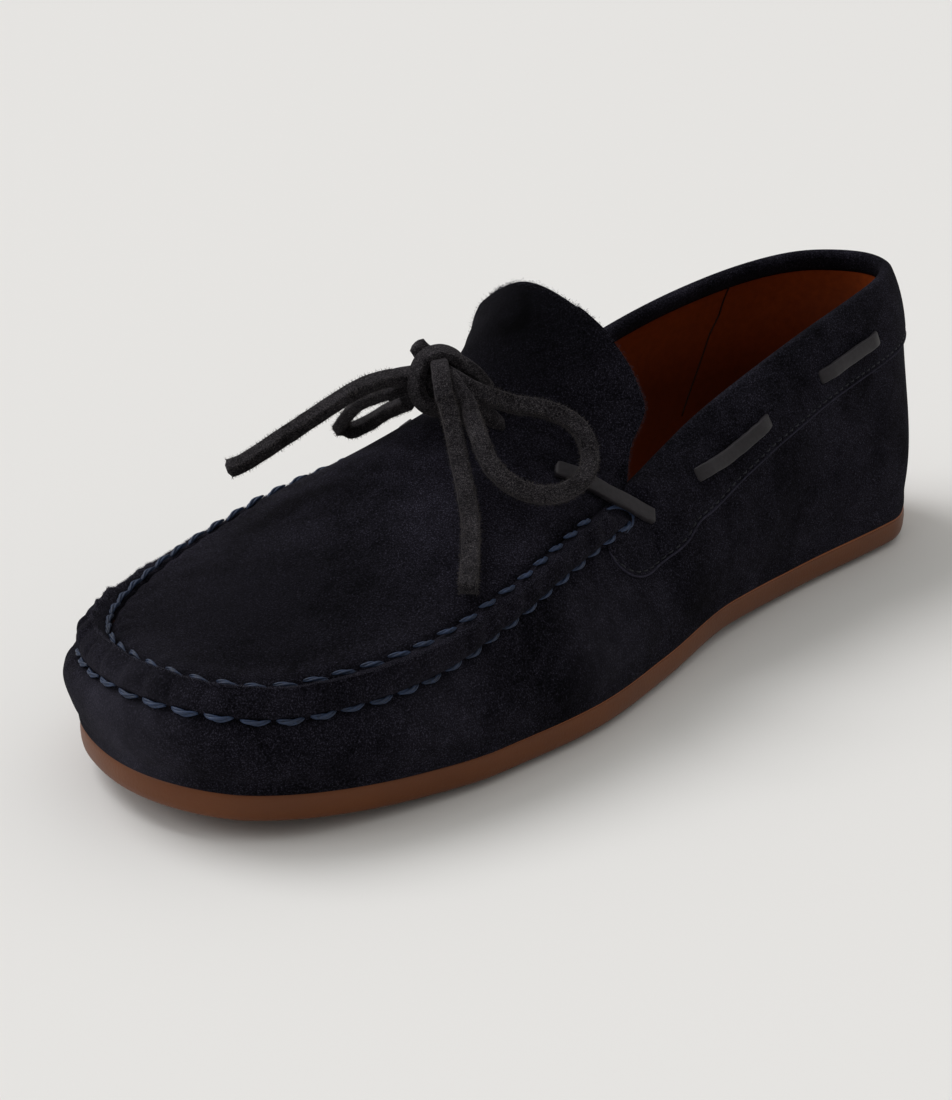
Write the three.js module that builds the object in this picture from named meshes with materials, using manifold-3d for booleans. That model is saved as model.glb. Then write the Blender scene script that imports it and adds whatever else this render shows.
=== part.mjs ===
// Boat shoe of the driving-moccasin kind, left foot: suede wrap and plug, rubber unit sole with pebble studs,
// leather sock, tongue and a leather thong through the collar.
//
// Millimetres, +Z up, toe towards +X, outer (lateral) side towards +Y. Shapes are worked out in shoe
// coordinates, whose x is 0 at the back of the sole; the group then moves the middle heel stud to the origin.
import * as THREE from 'three';
import { mergeVertices } from 'three/addons/utils/BufferGeometryUtils.js';
import Module from 'manifold-3d';

const wasm = await Module();
wasm.setup();

// ---- driving dimensions ----
const SOLE_LENGTH = 284;
const STUD_HEIGHT = 1.8;
const SIDE_HEIGHT = 6.6;
const TOE_SPRING = 5;
const SPRING_START = 195;
const WAIST_LIFT = 1.2;
const WAIST_START = 80;
const WAIST_END = 150;
const WALL = 2.2;
const GAP = 0.35;
const FEATHER_INSET = 1.2;
const HEEL_INSET = 2.9;
const HEEL_INSET_LENGTH = 26;
const RIDGE_PROUD = 2.3;
const SOCK_THICKNESS = 3;
const SOCK_CLEARANCE = 0.9;
const SOCK_ROUNDING = 0.8;
const TAB_TOP = 38;
const TAB_HALF = 19;
const TAB_THICKNESS = 2.2;
const LACE_WIDTH = 3.6;
const LACE_THICKNESS = 1.8;
const LACE_RADIUS = 2.1;
const RIBS = 80;
const WALL_ROWS = 6;
const PLUG_ROWS = 6;

// ---- sizes along the shoe ----
// Sole edge: x, middle line's y, half width, and the fullness of the side wall low down and high up.
const SOLE = [
  { x: 0, mid: 0, half: 0, low: 4, high: 2 },
  { x: 8, mid: 0.6, half: 20, low: 4, high: 2 },
  { x: 30, mid: 0, half: 32.4, low: 4, high: 2.5 },
  { x: 60, mid: -0.8, half: 33.6, low: 4, high: 3 },
  { x: 85, mid: 0.6, half: 33, low: 4, high: 3 },
  { x: 110, mid: 2.2, half: 34.2, low: 4.5, high: 3 },
  { x: 150, mid: 3.2, half: 41.3, low: 5, high: 4 },
  { x: 183, mid: 1, half: 49, low: 6, high: 5.5 },
  { x: 215, mid: -2.8, half: 52, low: 6, high: 5.5 },
  { x: 235, mid: -3, half: 49, low: 6, high: 5 },
  { x: 252, mid: -2.2, half: 43.6, low: 5.5, high: 4 },
  { x: 274, mid: 0.8, half: 28.5, low: 5, high: 3 },
  { x: SOLE_LENGTH, mid: 3, half: 0, low: 5, high: 3 },
];

// Top plug, one row per cross curve: x and z of its two ends at the seam, x and z of its crest, half width,
// middle y, and how far out and down the wrap's stitch row lies from the plug's stitch row.
const PLUG = [
  { edgeX: 147, crestX: 172, half: 30.5, edgeZ: 48.3, crestZ: 69.5, mid: -2, out: 4.8, drop: 4.8 },
  { edgeX: 163, crestX: 180, half: 35.2, edgeZ: 47, crestZ: 65, mid: -2.3, out: 3.2, drop: 5.8 },
  { edgeX: 182, crestX: 190, half: 39.2, edgeZ: 44.8, crestZ: 60, mid: -2.3, out: 2, drop: 6.6 },
  { edgeX: 203, crestX: 205, half: 42.2, edgeZ: 41.2, crestZ: 53.5, mid: -2, out: 1.2, drop: 7.2 },
  { edgeX: 220, crestX: 220, half: 42.4, edgeZ: 38, crestZ: 47.5, mid: -1.2, out: 1.8, drop: 7 },
  { edgeX: 235, crestX: 235, half: 40.6, edgeZ: 36, crestZ: 43, mid: -0.4, out: 3, drop: 6.4 },
  { edgeX: 250, crestX: 250, half: 36.2, edgeZ: 34.7, crestZ: 39.6, mid: 0.6, out: 4.2, drop: 5.6 },
  { edgeX: 262, crestX: 262, half: 30.4, edgeZ: 34.2, crestZ: 37.6, mid: 1.8, out: 5.4, drop: 4.8 },
  { edgeX: 272, crestX: 272, half: 21, edgeZ: 34.8, crestZ: 36.6, mid: 3.2, out: 6.2, drop: 4 },
  { edgeX: 278.5, crestX: 278.5, half: 0, edgeZ: 35.9, crestZ: 35.9, mid: 4.4, out: 6.4, drop: 3.6 },
];

// Quarters, one row per rib: x on the sole, then x, half width and z of the collar band's lower edge, the same
// for the collar's top, and the top's middle y.
const QUARTER = [
  { x: 0, bandX: 1, bandHalf: 0, bandZ: 57, topX: 3, topHalf: 0, topZ: 75.5, mid: 0 },
  { x: 12, bandX: 12, bandHalf: 20, bandZ: 57, topX: 13, topHalf: 14.8, topZ: 75.6, mid: 0 },
  { x: 30, bandX: 30, bandHalf: 28.2, bandZ: 55.4, topX: 31, topHalf: 21.2, topZ: 74.4, mid: -0.2 },
  { x: 60, bandX: 60, bandHalf: 31.8, bandZ: 51.6, topX: 60, topHalf: 25.2, topZ: 70.6, mid: -0.8 },
  { x: 90, bandX: 90, bandHalf: 33.8, bandZ: 45.4, topX: 89, topHalf: 27.2, topZ: 64.6, mid: -1.6 },
  { x: 120, bandX: 119, bandHalf: 35.6, bandZ: 39.4, topX: 117, topHalf: 28, topZ: 57, mid: -2 },
  { x: 140, bandX: 138, bandHalf: 36.4, bandZ: 39.6, topX: 136, topHalf: 29.2, topZ: 51, mid: -2 },
  { x: 150, bandX: 147.5, bandHalf: 36, bandZ: 43.4, topX: 146.6, topHalf: 30.5, topZ: 48.3, mid: -2 },
];

// Between these places on the sole the band's lower edge runs over into the wrap's stitch row.
const BLEND_FROM = 136;
const BLEND_TO = 152;

// Tongue, one row per cross curve from the throat up: crest x and z, then x, half width and z of its edges.
const TONGUE = [
  { t: 0, crestX: 171.4, crestZ: 70.1, edgeX: 151, edgeHalf: 26, edgeZ: 53.6 },
  { t: 0.25, crestX: 163.4, crestZ: 76.8, edgeX: 142.5, edgeHalf: 30, edgeZ: 57.6 },
  { t: 0.5, crestX: 157, crestZ: 83, edgeX: 138, edgeHalf: 30.4, edgeZ: 65.6 },
  { t: 0.75, crestX: 151.4, crestZ: 89, edgeX: 139, edgeHalf: 27.4, edgeZ: 74 },
  { t: 0.9, crestX: 148.2, crestZ: 92.4, edgeX: 141.5, edgeHalf: 21.5, edgeZ: 83 },
  { t: 1, crestX: 146.4, crestZ: 94.2, edgeX: 143.5, edgeHalf: 13, edgeZ: 89.5 },
];
const TONGUE_MID = -4;

// Studs under the sole: rows across, x from and to, and the radius of a stud's foot.
const STUD_PITCH = 14;
const STUD_SIDES = 6;
const STUD_MARGIN = 9.5;
const STUD_FIELDS = [
  { name: 'heel', from: 10, to: 84, radius: 4.2 },
  { name: 'forefoot', from: 150, to: 272, radius: 4.4 },
];
const HEEL_STUD_X = 38;

// Stretches of thong that lie along the collar band: x on the sole at both ends.
const BARS = [
  { name: 'front', from: 92, to: 131 },
  { name: 'rear', from: 36, to: 70 },
];
const BAR_PLACE = 0.42;

// Routes of the thong, x, y, z of the middle of the thong, chosen by hand.
const CROSSING_LATERAL = [[178.4, 10.6, 68], [176, 14.6, 65.2], [171.5, 20, 61], [164, 27.2, 55.4], [158.2, 33.8, 51.4],
  [153.6, 36.8, 48.4], [148.4, 39.6, 44.4]];
const CROSSING_MEDIAL = [[172.6, -23.2, 61.9], [168.2, -27.2, 58.7], [164, -31.6, 55.6], [158.2, -38, 51.6],
  [153.6, -41, 48.4], [148.4, -43.8, 44.4]];
const LOOP_LATERAL = [[176.4, 7.4, 74.4], [171, 12.4, 71.6], [166.4, 18.4, 70.6], [163.6, 25, 68],
  [164.4, 30.4, 63.6], [168.2, 33.4, 58.8], [174.6, 34.2, 56.6], [181.6, 33, 56.4], [187.8, 29.4, 58.6],
  [190, 23, 63], [186.4, 15, 68.6], [182.5, 8, 73.5]];
const LOOP_MEDIAL = [[185, -13.4, 73], [185.4, -17, 71.6], [185.6, -24, 68.2], [184.8, -30, 63.4], [182.8, -35, 58.4],
  [180, -34.4, 56.8], [178.4, -29.2, 59.8], [178.6, -21.6, 64.8], [179.6, -13, 69]];
const END_FRONT = [[187, 4.6, 76.4], [187.6, 7, 72.6], [189.5, 10.4, 68], [192.4, 15, 62.6],
  [196, 20.4, 57.2], [201, 26.4, 52.2], [208, 32.6, 47.8], [215.4, 39, 44]];
const END_MEDIAL = [[187.4, -10.2, 77.4], [191, -12.2, 77], [196.5, -15.6, 75], [206, -23, 67.6], [212.6, -28, 62.4],
  [218, -32, 58.4], [221.5, -34.4, 57]];
const KNOT_CENTRE = [179.6, -3.6, 76.4];
const KNOT_RADII = [6.2, 8, 8];

// ---- reading the tables ----
const clamp = (value, low, high) => Math.min(Math.max(value, low), high);
const smooth = (t) => t * t * (3 - 2 * t);
const ramp = (value, from, to) => smooth(clamp((value - from) / (to - from), 0, 1));

// One column of a table at a place between its rows: a cubic with limited slopes, so it never overshoots.
function column(table, key, name, at) {
  const last = table.length - 1;
  const value = clamp(at, table[0][key], table[last][key]);
  let i = 0;
  while (i < last - 1 && value > table[i + 1][key]) i += 1;
  const step = (k) => (table[k + 1][name] - table[k][name]) / (table[k + 1][key] - table[k][key]);
  const slope = (k) => {
    if (k <= 0) return step(0);
    if (k >= last) return step(last - 1);
    const product = step(k - 1) * step(k);
    return product <= 0 ? 0 : (2 * product) / (step(k - 1) + step(k));
  };
  const width = table[i + 1][key] - table[i][key];
  const t = (value - table[i][key]) / width;
  const rise = t * t * (3 - 2 * t);
  return table[i][name] * (1 - rise) + table[i + 1][name] * rise
    + width * (t * (1 - t) * (1 - t) * slope(i) - t * t * (1 - t) * slope(i + 1));
}

// Half widths are read as squares, which keeps heel and toe round.
function halfWidth(table, key, name, at) {
  const squares = table.map((row) => ({ at: row[key], square: row[name] ** 2 }));
  return Math.sqrt(Math.max(column(squares, 'at', 'square', at), 0));
}

// ---- sole ----
const lift = (x) => {
  const spring = TOE_SPRING * clamp((x - SPRING_START) / (SOLE_LENGTH - SPRING_START), 0, 1) ** 2;
  const waist = clamp((x - WAIST_START) / (WAIST_END - WAIST_START), 0, 1);
  return spring + WAIST_LIFT * Math.sin(Math.PI * waist) ** 2;
};
const soleBottom = (x) => STUD_HEIGHT + lift(x);
const soleTop = (x) => soleBottom(x) + SIDE_HEIGHT;

// A rib is an angle round the shoe: 0 at the back of the heel, PI at the toe, first half on the outer side.
const ribX = (angle) => (SOLE_LENGTH * (1 - Math.cos(angle))) / 2;
const ribSide = (angle) => (Math.sin(angle) >= 0 ? 1 : -1);

function soleEdge(angle) {
  const x = ribX(angle);
  const half = halfWidth(SOLE, 'x', 'half', x);
  return new THREE.Vector3(x, column(SOLE, 'x', 'mid', x) + ribSide(angle) * half, 0);
}

// Outward direction of the sole's edge at a rib, in plan.
function outward(angle) {
  const step = 0.02;
  const along = soleEdge(angle + step).sub(soleEdge(angle - step));
  return new THREE.Vector3(-along.y, along.x, 0).normalize();
}

function insetEdge(angle, inset, z) {
  const point = soleEdge(angle).addScaledVector(outward(angle), -inset);
  point.z = z;
  return point;
}

// ---- upper ----
// The plug's cross curve whose ends are at edgeX, at s from -1 (inner side) to 1 (outer side).
function plugPoint(edgeX, s) {
  const read = (name) => column(PLUG, 'edgeX', name, edgeX);
  const half = halfWidth(PLUG, 'edgeX', 'half', edgeX);
  return new THREE.Vector3(
    read('crestX') - (read('crestX') - edgeX) * s * s,
    read('mid') + half * s,
    read('crestZ') - (read('crestZ') - read('edgeZ')) * s * s,
  );
}

// The plug's height over a place in plan: finds the cross curve through it by halving.
function plugHeight(x, y) {
  let low = PLUG[0].edgeX;
  let high = PLUG.at(-1).edgeX - 0.05;
  const place = (edgeX) => {
    const half = Math.max(halfWidth(PLUG, 'edgeX', 'half', edgeX), 0.1);
    return clamp((y - column(PLUG, 'edgeX', 'mid', edgeX)) / half, -1, 1);
  };
  for (let i = 0; i < 30; i += 1) {
    const middle = (low + high) / 2;
    if (plugPoint(middle, place(middle)).x < x) low = middle;
    else high = middle;
  }
  return plugPoint(low, place(low)).z;
}

function bezier(a, b, c, d, t) {
  const u = 1 - t;
  return new THREE.Vector3()
    .addScaledVector(a, u * u * u)
    .addScaledVector(b, 3 * u * u * t)
    .addScaledVector(c, 3 * u * t * t)
    .addScaledVector(d, t * t * t);
}

// How far along the plug's seam a rib is: 0 at the throat, 1 at the toe, less than 0 in the quarters.
const seamShare = (angle) => (ribX(angle) - QUARTER.at(-1).x) / (SOLE_LENGTH - QUARTER.at(-1).x);
const seamX = (share) => PLUG[0].edgeX + share * (PLUG.at(-1).edgeX - PLUG[0].edgeX);

// Ends of the upper part of a rib: its lower row (wrap's stitches or collar band's lower edge), and the point
// inside it (plug's stitches or collar top).
function ribRows(angle) {
  const share = seamShare(angle);
  const side = ribSide(angle);
  const x = ribX(angle);
  const seam = seamX(Math.max(share, 0));
  const inner = plugPoint(seam, side);
  const wrap = inner.clone().addScaledVector(outward(angle), column(PLUG, 'edgeX', 'out', seam));
  wrap.z -= column(PLUG, 'edgeX', 'drop', seam);
  const mid = column(QUARTER, 'x', 'mid', x);
  const bandMid = (mid + column(SOLE, 'x', 'mid', x)) / 2;
  const lower = new THREE.Vector3(
    column(QUARTER, 'x', 'bandX', x),
    bandMid + side * halfWidth(QUARTER, 'x', 'bandHalf', x),
    column(QUARTER, 'x', 'bandZ', x),
  ).lerp(wrap, ramp(x, BLEND_FROM, BLEND_TO));
  if (share <= 0) {
    inner.set(
      column(QUARTER, 'x', 'topX', x),
      mid + side * halfWidth(QUARTER, 'x', 'topHalf', x),
      column(QUARTER, 'x', 'topZ', x),
    );
  }
  return { lower, inner };
}

// How far inside the sole's edge the upper stands; more at the heel, where the rubber tab lies outside it.
const footInset = (x) => HEEL_INSET + (FEATHER_INSET - HEEL_INSET) * ramp(x, 0, HEEL_INSET_LENGTH);

// The side wall of a rib, from the sole (t = 0) to its lower row (t = 1).
function wallPoint(angle, t) {
  const x = ribX(angle);
  const foot = insetEdge(angle, footInset(x), soleTop(x) + GAP);
  const { lower } = ribRows(angle);
  const rise = new THREE.Vector3(0, 0, 0.38 * (lower.z - foot.z));
  const out = outward(angle);
  const low = foot.clone().add(rise).addScaledVector(out, column(SOLE, 'x', 'low', x));
  const high = lower.clone().sub(rise).addScaledVector(out, column(SOLE, 'x', 'high', x));
  return bezier(foot, low, high, lower, t);
}

// The collar band of a rib in the quarters, from its lower edge (t = 0) to the collar's top (t = 1).
function bandPoint(angle, t) {
  const { lower, inner } = ribRows(angle);
  const point = lower.clone().lerp(inner, t);
  const fullness = 1.2 + 1.6 * ramp(ribX(angle), 110, QUARTER.at(-1).x);
  point.addScaledVector(outward(angle), 4 * t * (1 - t) * fullness * 0.7);
  point.z += 4 * t * (1 - t) * fullness * 0.7;
  return point;
}

// One rib's outer points from sole to opening. proud lifts the two middle rows of the hand-sewn ridge.
function rib(angle, proud) {
  const share = seamShare(angle);
  const points = [];
  for (let i = 0; i <= WALL_ROWS; i += 1) points.push(wallPoint(angle, i / WALL_ROWS));
  const { lower, inner } = ribRows(angle);
  const more = PLUG_ROWS + 3;
  if (share <= 0) {
    for (let i = 1; i <= more; i += 1) points.push(bandPoint(angle, i / more));
    return points;
  }
  const across = inner.clone().sub(lower);
  const out = outward(angle);
  const width = across.length();
  const level = -across.dot(out);
  const swell = out.clone().multiplyScalar(across.z / width).add(new THREE.Vector3(0, 0, level / width));
  const height = proud * ramp(share, 0, 0.1);
  [0.3, 0.7].forEach((t) => points.push(lower.clone().lerp(inner, t).addScaledVector(swell, height)));
  points.push(inner);
  const throat = plugPoint(PLUG[0].edgeX, ribSide(angle) * Math.sqrt(1 - share));
  for (let i = 1; i <= PLUG_ROWS; i += 1) {
    const point = inner.clone().lerp(throat, i / PLUG_ROWS);
    if (i < PLUG_ROWS) point.z = plugHeight(point.x, point.y);
    points.push(point);
  }
  return points;
}

// ---- making closed meshes ----
// Normals of a grid of points, grid[row][column]: rows go up and columns clockwise, seen from above, so the
// normals point out. Columns may run all the way round.
function gridNormals(grid, round) {
  const rows = grid.length;
  return grid.map((line, r) => line.map((point, c) => {
    const count = line.length;
    const next = round ? (c + 1) % count : Math.min(c + 1, count - 1);
    const before = round ? (c + count - 1) % count : Math.max(c - 1, 0);
    const along = line[next].clone().sub(line[before]);
    const up = grid[Math.min(r + 1, rows - 1)][c].clone().sub(grid[Math.max(r - 1, 0)][c]);
    return up.cross(along).normalize();
  }));
}

function geometryOf(points, faces) {
  const geometry = new THREE.BufferGeometry();
  geometry.setAttribute('position', new THREE.Float32BufferAttribute(points.flatMap((p) => [p.x, p.y, p.z]), 3));
  geometry.setIndex(faces);
  return geometry;
}

const quad = (faces, a, b, c, d) => faces.push(a, b, c, a, c, d);

// A solid between rings of equal length. A tube of rings closes on itself; otherwise flat strips, which join
// each point to the one across the shoe, close both ends.
function ringSolid(rings, closed) {
  const count = rings[0].length;
  const faces = [];
  const steps = closed ? rings.length : rings.length - 1;
  for (let r = 0; r < steps; r += 1) {
    const above = ((r + 1) % rings.length) * count;
    for (let c = 0; c < count; c += 1) {
      const next = (c + 1) % count;
      quad(faces, r * count + c, above + c, above + next, r * count + next);
    }
  }
  if (!closed) {
    const top = (rings.length - 1) * count;
    for (let c = 0; c < count / 2; c += 1) {
      const across = (count - c) % count;
      const acrossNext = count - c - 1;
      const corners = [c, c + 1, acrossNext, across];
      const distinct = corners.filter((corner, i) => corners.indexOf(corner) === i);
      for (let k = 1; k < distinct.length - 1; k += 1) {
        faces.push(distinct[0], distinct[k], distinct[k + 1]);
        faces.push(top + distinct[0], top + distinct[k + 1], top + distinct[k]);
      }
    }
  }
  return geometryOf(rings.flat(), faces);
}

// A solid skin on a patch of points, from one distance off it to another.
function sheetSolid(grid, near, far) {
  const normals = gridNormals(grid, false);
  const rows = grid.length;
  const columns = grid[0].length;
  const shifted = (distance) => (p, r, c) => p.clone().addScaledVector(normals[r][c], distance);
  const layer = (distance) => grid.flatMap((line, r) => line.map((p, c) => shifted(distance)(p, r, c)));
  const points = [...layer(far), ...layer(near)];
  const under = rows * columns;
  const faces = [];
  for (let r = 0; r < rows - 1; r += 1) {
    for (let c = 0; c < columns - 1; c += 1) {
      const a = r * columns + c;
      quad(faces, a, a + columns, a + columns + 1, a + 1);
      quad(faces, under + a, under + a + 1, under + a + columns + 1, under + a + columns);
    }
  }
  const rim = [];
  for (let c = 0; c < columns - 1; c += 1) rim.push(c);
  for (let r = 0; r < rows - 1; r += 1) rim.push(r * columns + columns - 1);
  for (let c = columns - 1; c > 0; c -= 1) rim.push((rows - 1) * columns + c);
  for (let r = rows - 1; r > 0; r -= 1) rim.push(r * columns);
  rim.forEach((a, i) => {
    const b = rim[(i + 1) % rim.length];
    quad(faces, a, b, under + b, under + a);
  });
  return geometryOf(points, faces);
}

function toManifold(geometry) {
  const bare = geometry.index ? geometry.clone() : geometry;
  bare.deleteAttribute('normal');
  bare.deleteAttribute('uv');
  const merged = mergeVertices(bare, 1e-4);
  return new wasm.Manifold(new wasm.Mesh({
    numProp: 3,
    vertProperties: new Float32Array(merged.attributes.position.array),
    triVerts: new Uint32Array(merged.index.array),
  }));
}

function fromManifold(solid) {
  const mesh = solid.getMesh();
  const geometry = new THREE.BufferGeometry();
  geometry.setAttribute('position', new THREE.BufferAttribute(new Float32Array(mesh.vertProperties), 3));
  geometry.setIndex([...mesh.triVerts]);
  return geometry;
}

const angles = Array.from({ length: RIBS }, (_, i) => (2 * Math.PI * i) / RIBS);

// ---- the pieces ----
function upperGeometry() {
  const shape = (proud) => {
    const ribs = angles.map((angle) => rib(angle, proud));
    return ribs[0].map((_, row) => ribs.map((points) => points[row]));
  };
  const outside = shape(RIDGE_PROUD);
  const plain = shape(0);
  const normals = gridNormals(plain, true);
  const inside = plain.map((ring, row) => ring.map((point, c) => {
    const normal = normals[row][c].clone();
    if (row === 0) normal.setZ(0).normalize();
    return point.clone().addScaledVector(normal, -WALL);
  }));
  return ringSolid([...outside, ...inside.reverse()], true);
}

function soleBodyGeometry() {
  const profile = [
    { inset: 2, up: 0 },
    { inset: 0.5, up: 0.12 },
    { inset: 0, up: 0.45 },
    { inset: 0, up: 0.85 },
    { inset: 0.4, up: 1 },
  ];
  const rings = profile.map(({ inset, up }) => angles.map((angle) => {
    const x = ribX(angle);
    return insetEdge(angle, inset, soleBottom(x) + up * SIDE_HEIGHT);
  }));
  return ringSolid(rings, false);
}

function studGeometry(x, y, radius) {
  const height = STUD_HEIGHT + 1;
  const stud = new THREE.CylinderGeometry(radius + 0.6, radius, height, STUD_SIDES);
  stud.rotateX(Math.PI / 2);
  stud.translate(x, y, height / 2 + lift(x));
  return stud;
}

// Places of the studs: staggered rows, kept a margin inside the sole's edge.
function studPlaces() {
  const places = [];
  STUD_FIELDS.forEach(({ from, to, radius }) => {
    const rows = Math.floor((to - from) / STUD_PITCH);
    for (let row = 0; row <= rows; row += 1) {
      const x = from + row * STUD_PITCH;
      const mid = column(SOLE, 'x', 'mid', x);
      const reach = halfWidth(SOLE, 'x', 'half', x) - STUD_MARGIN;
      const shift = row % 2 === 0 ? 0 : 0.5;
      for (let k = -4; k <= 4; k += 1) {
        const y = mid + (k + shift) * STUD_PITCH;
        if (Math.abs(y - mid) <= reach) places.push({ x, y, radius });
      }
    }
  });
  return places;
}

// The rubber tab on the back of the heel follows the upper's own wall, a little off it.
function heelTabGeometry() {
  const rows = 6;
  const columns = 8;
  const grid = [];
  for (let r = 0; r <= rows; r += 1) {
    const t = r / rows;
    const line = [];
    for (let c = 0; c <= columns; c += 1) {
      const place = (2 * c) / columns - 1;
      const half = TAB_HALF * Math.sqrt(1 - 0.72 * t * t);
      const angle = -place * (half / (SOLE_LENGTH / 4)) * 1.42;
      const foot = wallPoint(angle, 0);
      const top = TAB_TOP - 5 * place * place;
      let low = 0;
      let high = 1;
      const wanted = foot.z + t * (top - foot.z);
      for (let i = 0; i < 24; i += 1) {
        const middle = (low + high) / 2;
        if (wallPoint(angle, middle).z < wanted) low = middle;
        else high = middle;
      }
      const point = wallPoint(angle, low);
      line.push(r === 0 ? point.setZ(soleTop(0) - 3) : point);
    }
    grid.push(line);
  }
  return sheetSolid(grid.map((line) => line.reverse()), GAP, GAP + TAB_THICKNESS);
}

function outsoleGeometry() {
  let solid = toManifold(soleBodyGeometry());
  studPlaces().forEach(({ x, y, radius }) => {
    solid = solid.add(toManifold(studGeometry(x, y, radius)));
  });
  return fromManifold(solid.add(toManifold(heelTabGeometry())));
}

function insoleGeometry() {
  const rings = [0, 0.7, 1].map((up) => angles.map((angle) => {
    const x = ribX(angle);
    const inset = footInset(x) + WALL + SOCK_CLEARANCE + (up === 1 ? SOCK_ROUNDING : 0);
    return insetEdge(angle, inset, soleTop(x) + GAP + up * SOCK_THICKNESS);
  }));
  return ringSolid(rings, false);
}

function tongueGeometry() {
  const rows = 10;
  const columns = 12;
  const grid = [];
  for (let r = 0; r <= rows; r += 1) {
    const read = (name) => column(TONGUE, 't', name, r / rows);
    const line = [];
    for (let c = 0; c <= columns; c += 1) {
      const s = 1 - (2 * c) / columns;
      line.push(new THREE.Vector3(
        read('crestX') + (read('edgeX') - read('crestX')) * s * s,
        TONGUE_MID + read('edgeHalf') * s,
        read('crestZ') + (read('edgeZ') - read('crestZ')) * s * s,
      ));
    }
    grid.push(line);
  }
  return sheetSolid(grid, -WALL, 0);
}

// A flat stretch of thong on the collar band, along it from one rib to another.
function barGeometry(from, to, side) {
  const steps = 8;
  const grid = [];
  for (let r = 0; r <= 2; r += 1) {
    const line = [];
    for (let c = 0; c <= steps; c += 1) {
      const x = from + ((to - from) * c) / steps;
      const angle = side * Math.acos(1 - (2 * x) / SOLE_LENGTH);
      const { lower, inner } = ribRows(angle);
      const share = LACE_WIDTH / lower.distanceTo(inner);
      line.push(bandPoint(angle, BAR_PLACE + (r / 2 - 0.5) * share));
    }
    grid.push(side > 0 ? line : line.reverse());
  }
  return sheetSolid(grid, GAP, GAP + LACE_THICKNESS);
}

// A round stretch of thong along a route of points.
function thongGeometry(route) {
  const path = new THREE.CatmullRomCurve3(route.map(([x, y, z]) => new THREE.Vector3(x, y, z)));
  const section = new THREE.Shape();
  section.absarc(0, 0, LACE_RADIUS, 0, 2 * Math.PI, false);
  const steps = Math.ceil(path.getLength() / (2.2 * LACE_RADIUS));
  return new THREE.ExtrudeGeometry(section, { steps, extrudePath: path, curveSegments: 4, bevelEnabled: false });
}

function knotGeometry() {
  const knot = new THREE.SphereGeometry(1, 14, 9);
  knot.scale(...KNOT_RADII);
  knot.translate(...KNOT_CENTRE);
  return knot;
}

// ---- the shoe ----
const suede = new THREE.MeshStandardMaterial({ color: 0x14151f, roughness: 0.95, metalness: 0 });
const rubber = new THREE.MeshStandardMaterial({ color: 0x6e3f25, roughness: 0.5, metalness: 0 });
const sockLeather = new THREE.MeshStandardMaterial({ color: 0xa2551f, roughness: 0.6, metalness: 0 });
const thong = new THREE.MeshStandardMaterial({ color: 0x2e2b30, roughness: 0.8, metalness: 0 });

const shoe = new THREE.Group();
shoe.position.set(-HEEL_STUD_X, 0, 0);

function addPiece(name, geometry, material) {
  const mesh = new THREE.Mesh(geometry, material.clone());
  mesh.name = name;
  shoe.add(mesh);
}

addPiece('outsole', outsoleGeometry(), rubber);
addPiece('upper', upperGeometry(), suede);
addPiece('tongue', tongueGeometry(), suede);
addPiece('insole', insoleGeometry(), sockLeather);
BARS.forEach(({ name, from, to }) => {
  addPiece(`lace_bar_lateral_${name}`, barGeometry(from, to, 1), thong);
  addPiece(`lace_bar_medial_${name}`, barGeometry(from, to, -1), thong);
});
addPiece('lace_crossing_lateral', thongGeometry(CROSSING_LATERAL), thong);
addPiece('lace_crossing_medial', thongGeometry(CROSSING_MEDIAL), thong);
addPiece('lace_knot', knotGeometry(), thong);
addPiece('lace_loop_lateral', thongGeometry(LOOP_LATERAL), thong);
addPiece('lace_loop_medial', thongGeometry(LOOP_MEDIAL), thong);
addPiece('lace_end_front', thongGeometry(END_FRONT), thong);
addPiece('lace_end_medial', thongGeometry(END_MEDIAL), thong);

export default shoe;
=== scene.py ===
"""Looks of the left boat shoe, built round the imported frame.

Shapes are worked out in shoe millimetres: x from the back of the sole towards the toe, y towards the outer
(lateral) side, z up from the ground. to_frame() turns them into the metres of the frame.
"""
import logging
import math
from dataclasses import dataclass, field
from enum import Enum
from typing import Sequence

import bmesh
import bpy
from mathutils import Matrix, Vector
import numpy as np


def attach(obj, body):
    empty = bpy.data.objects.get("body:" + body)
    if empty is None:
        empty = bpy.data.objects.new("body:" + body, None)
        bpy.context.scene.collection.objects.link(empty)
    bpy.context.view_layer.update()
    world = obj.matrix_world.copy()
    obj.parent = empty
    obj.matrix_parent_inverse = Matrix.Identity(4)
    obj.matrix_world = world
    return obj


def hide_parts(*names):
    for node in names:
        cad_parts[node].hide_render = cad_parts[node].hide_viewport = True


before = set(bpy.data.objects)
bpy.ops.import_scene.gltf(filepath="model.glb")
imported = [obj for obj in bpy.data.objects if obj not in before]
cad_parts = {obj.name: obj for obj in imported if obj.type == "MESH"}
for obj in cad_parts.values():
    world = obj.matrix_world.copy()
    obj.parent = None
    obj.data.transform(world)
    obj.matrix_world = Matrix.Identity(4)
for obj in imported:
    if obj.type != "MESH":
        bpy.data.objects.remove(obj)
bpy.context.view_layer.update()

log = logging.getLogger("boat_shoe")
Array = np.ndarray
Point = tuple[float, float, float]

MM = 0.001
# Sizes in shoe millimetres, as in the CAD part.
HEEL_STUD_X = 38.0
SOLE_LENGTH = 284.0
STUD_HEIGHT = 1.8
SIDE_HEIGHT = 6.6
TOE_SPRING = 5.0
SPRING_START = 195.0
WAIST_LIFT = 1.2
WAIST_START = 80.0
WAIST_END = 150.0
WALL = 2.2
SUEDE = 1.2
GAP = 0.35
FEATHER_INSET = 1.2
HEEL_INSET = 2.9
HEEL_INSET_LENGTH = 26.0
CORNER_X = 150.0
BLEND_FROM = 136.0
BLEND_TO = 152.0
BAND_THICK = 0.75
SOCK_THICK = 3.0
STITCH_PITCH = 7.0
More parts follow.
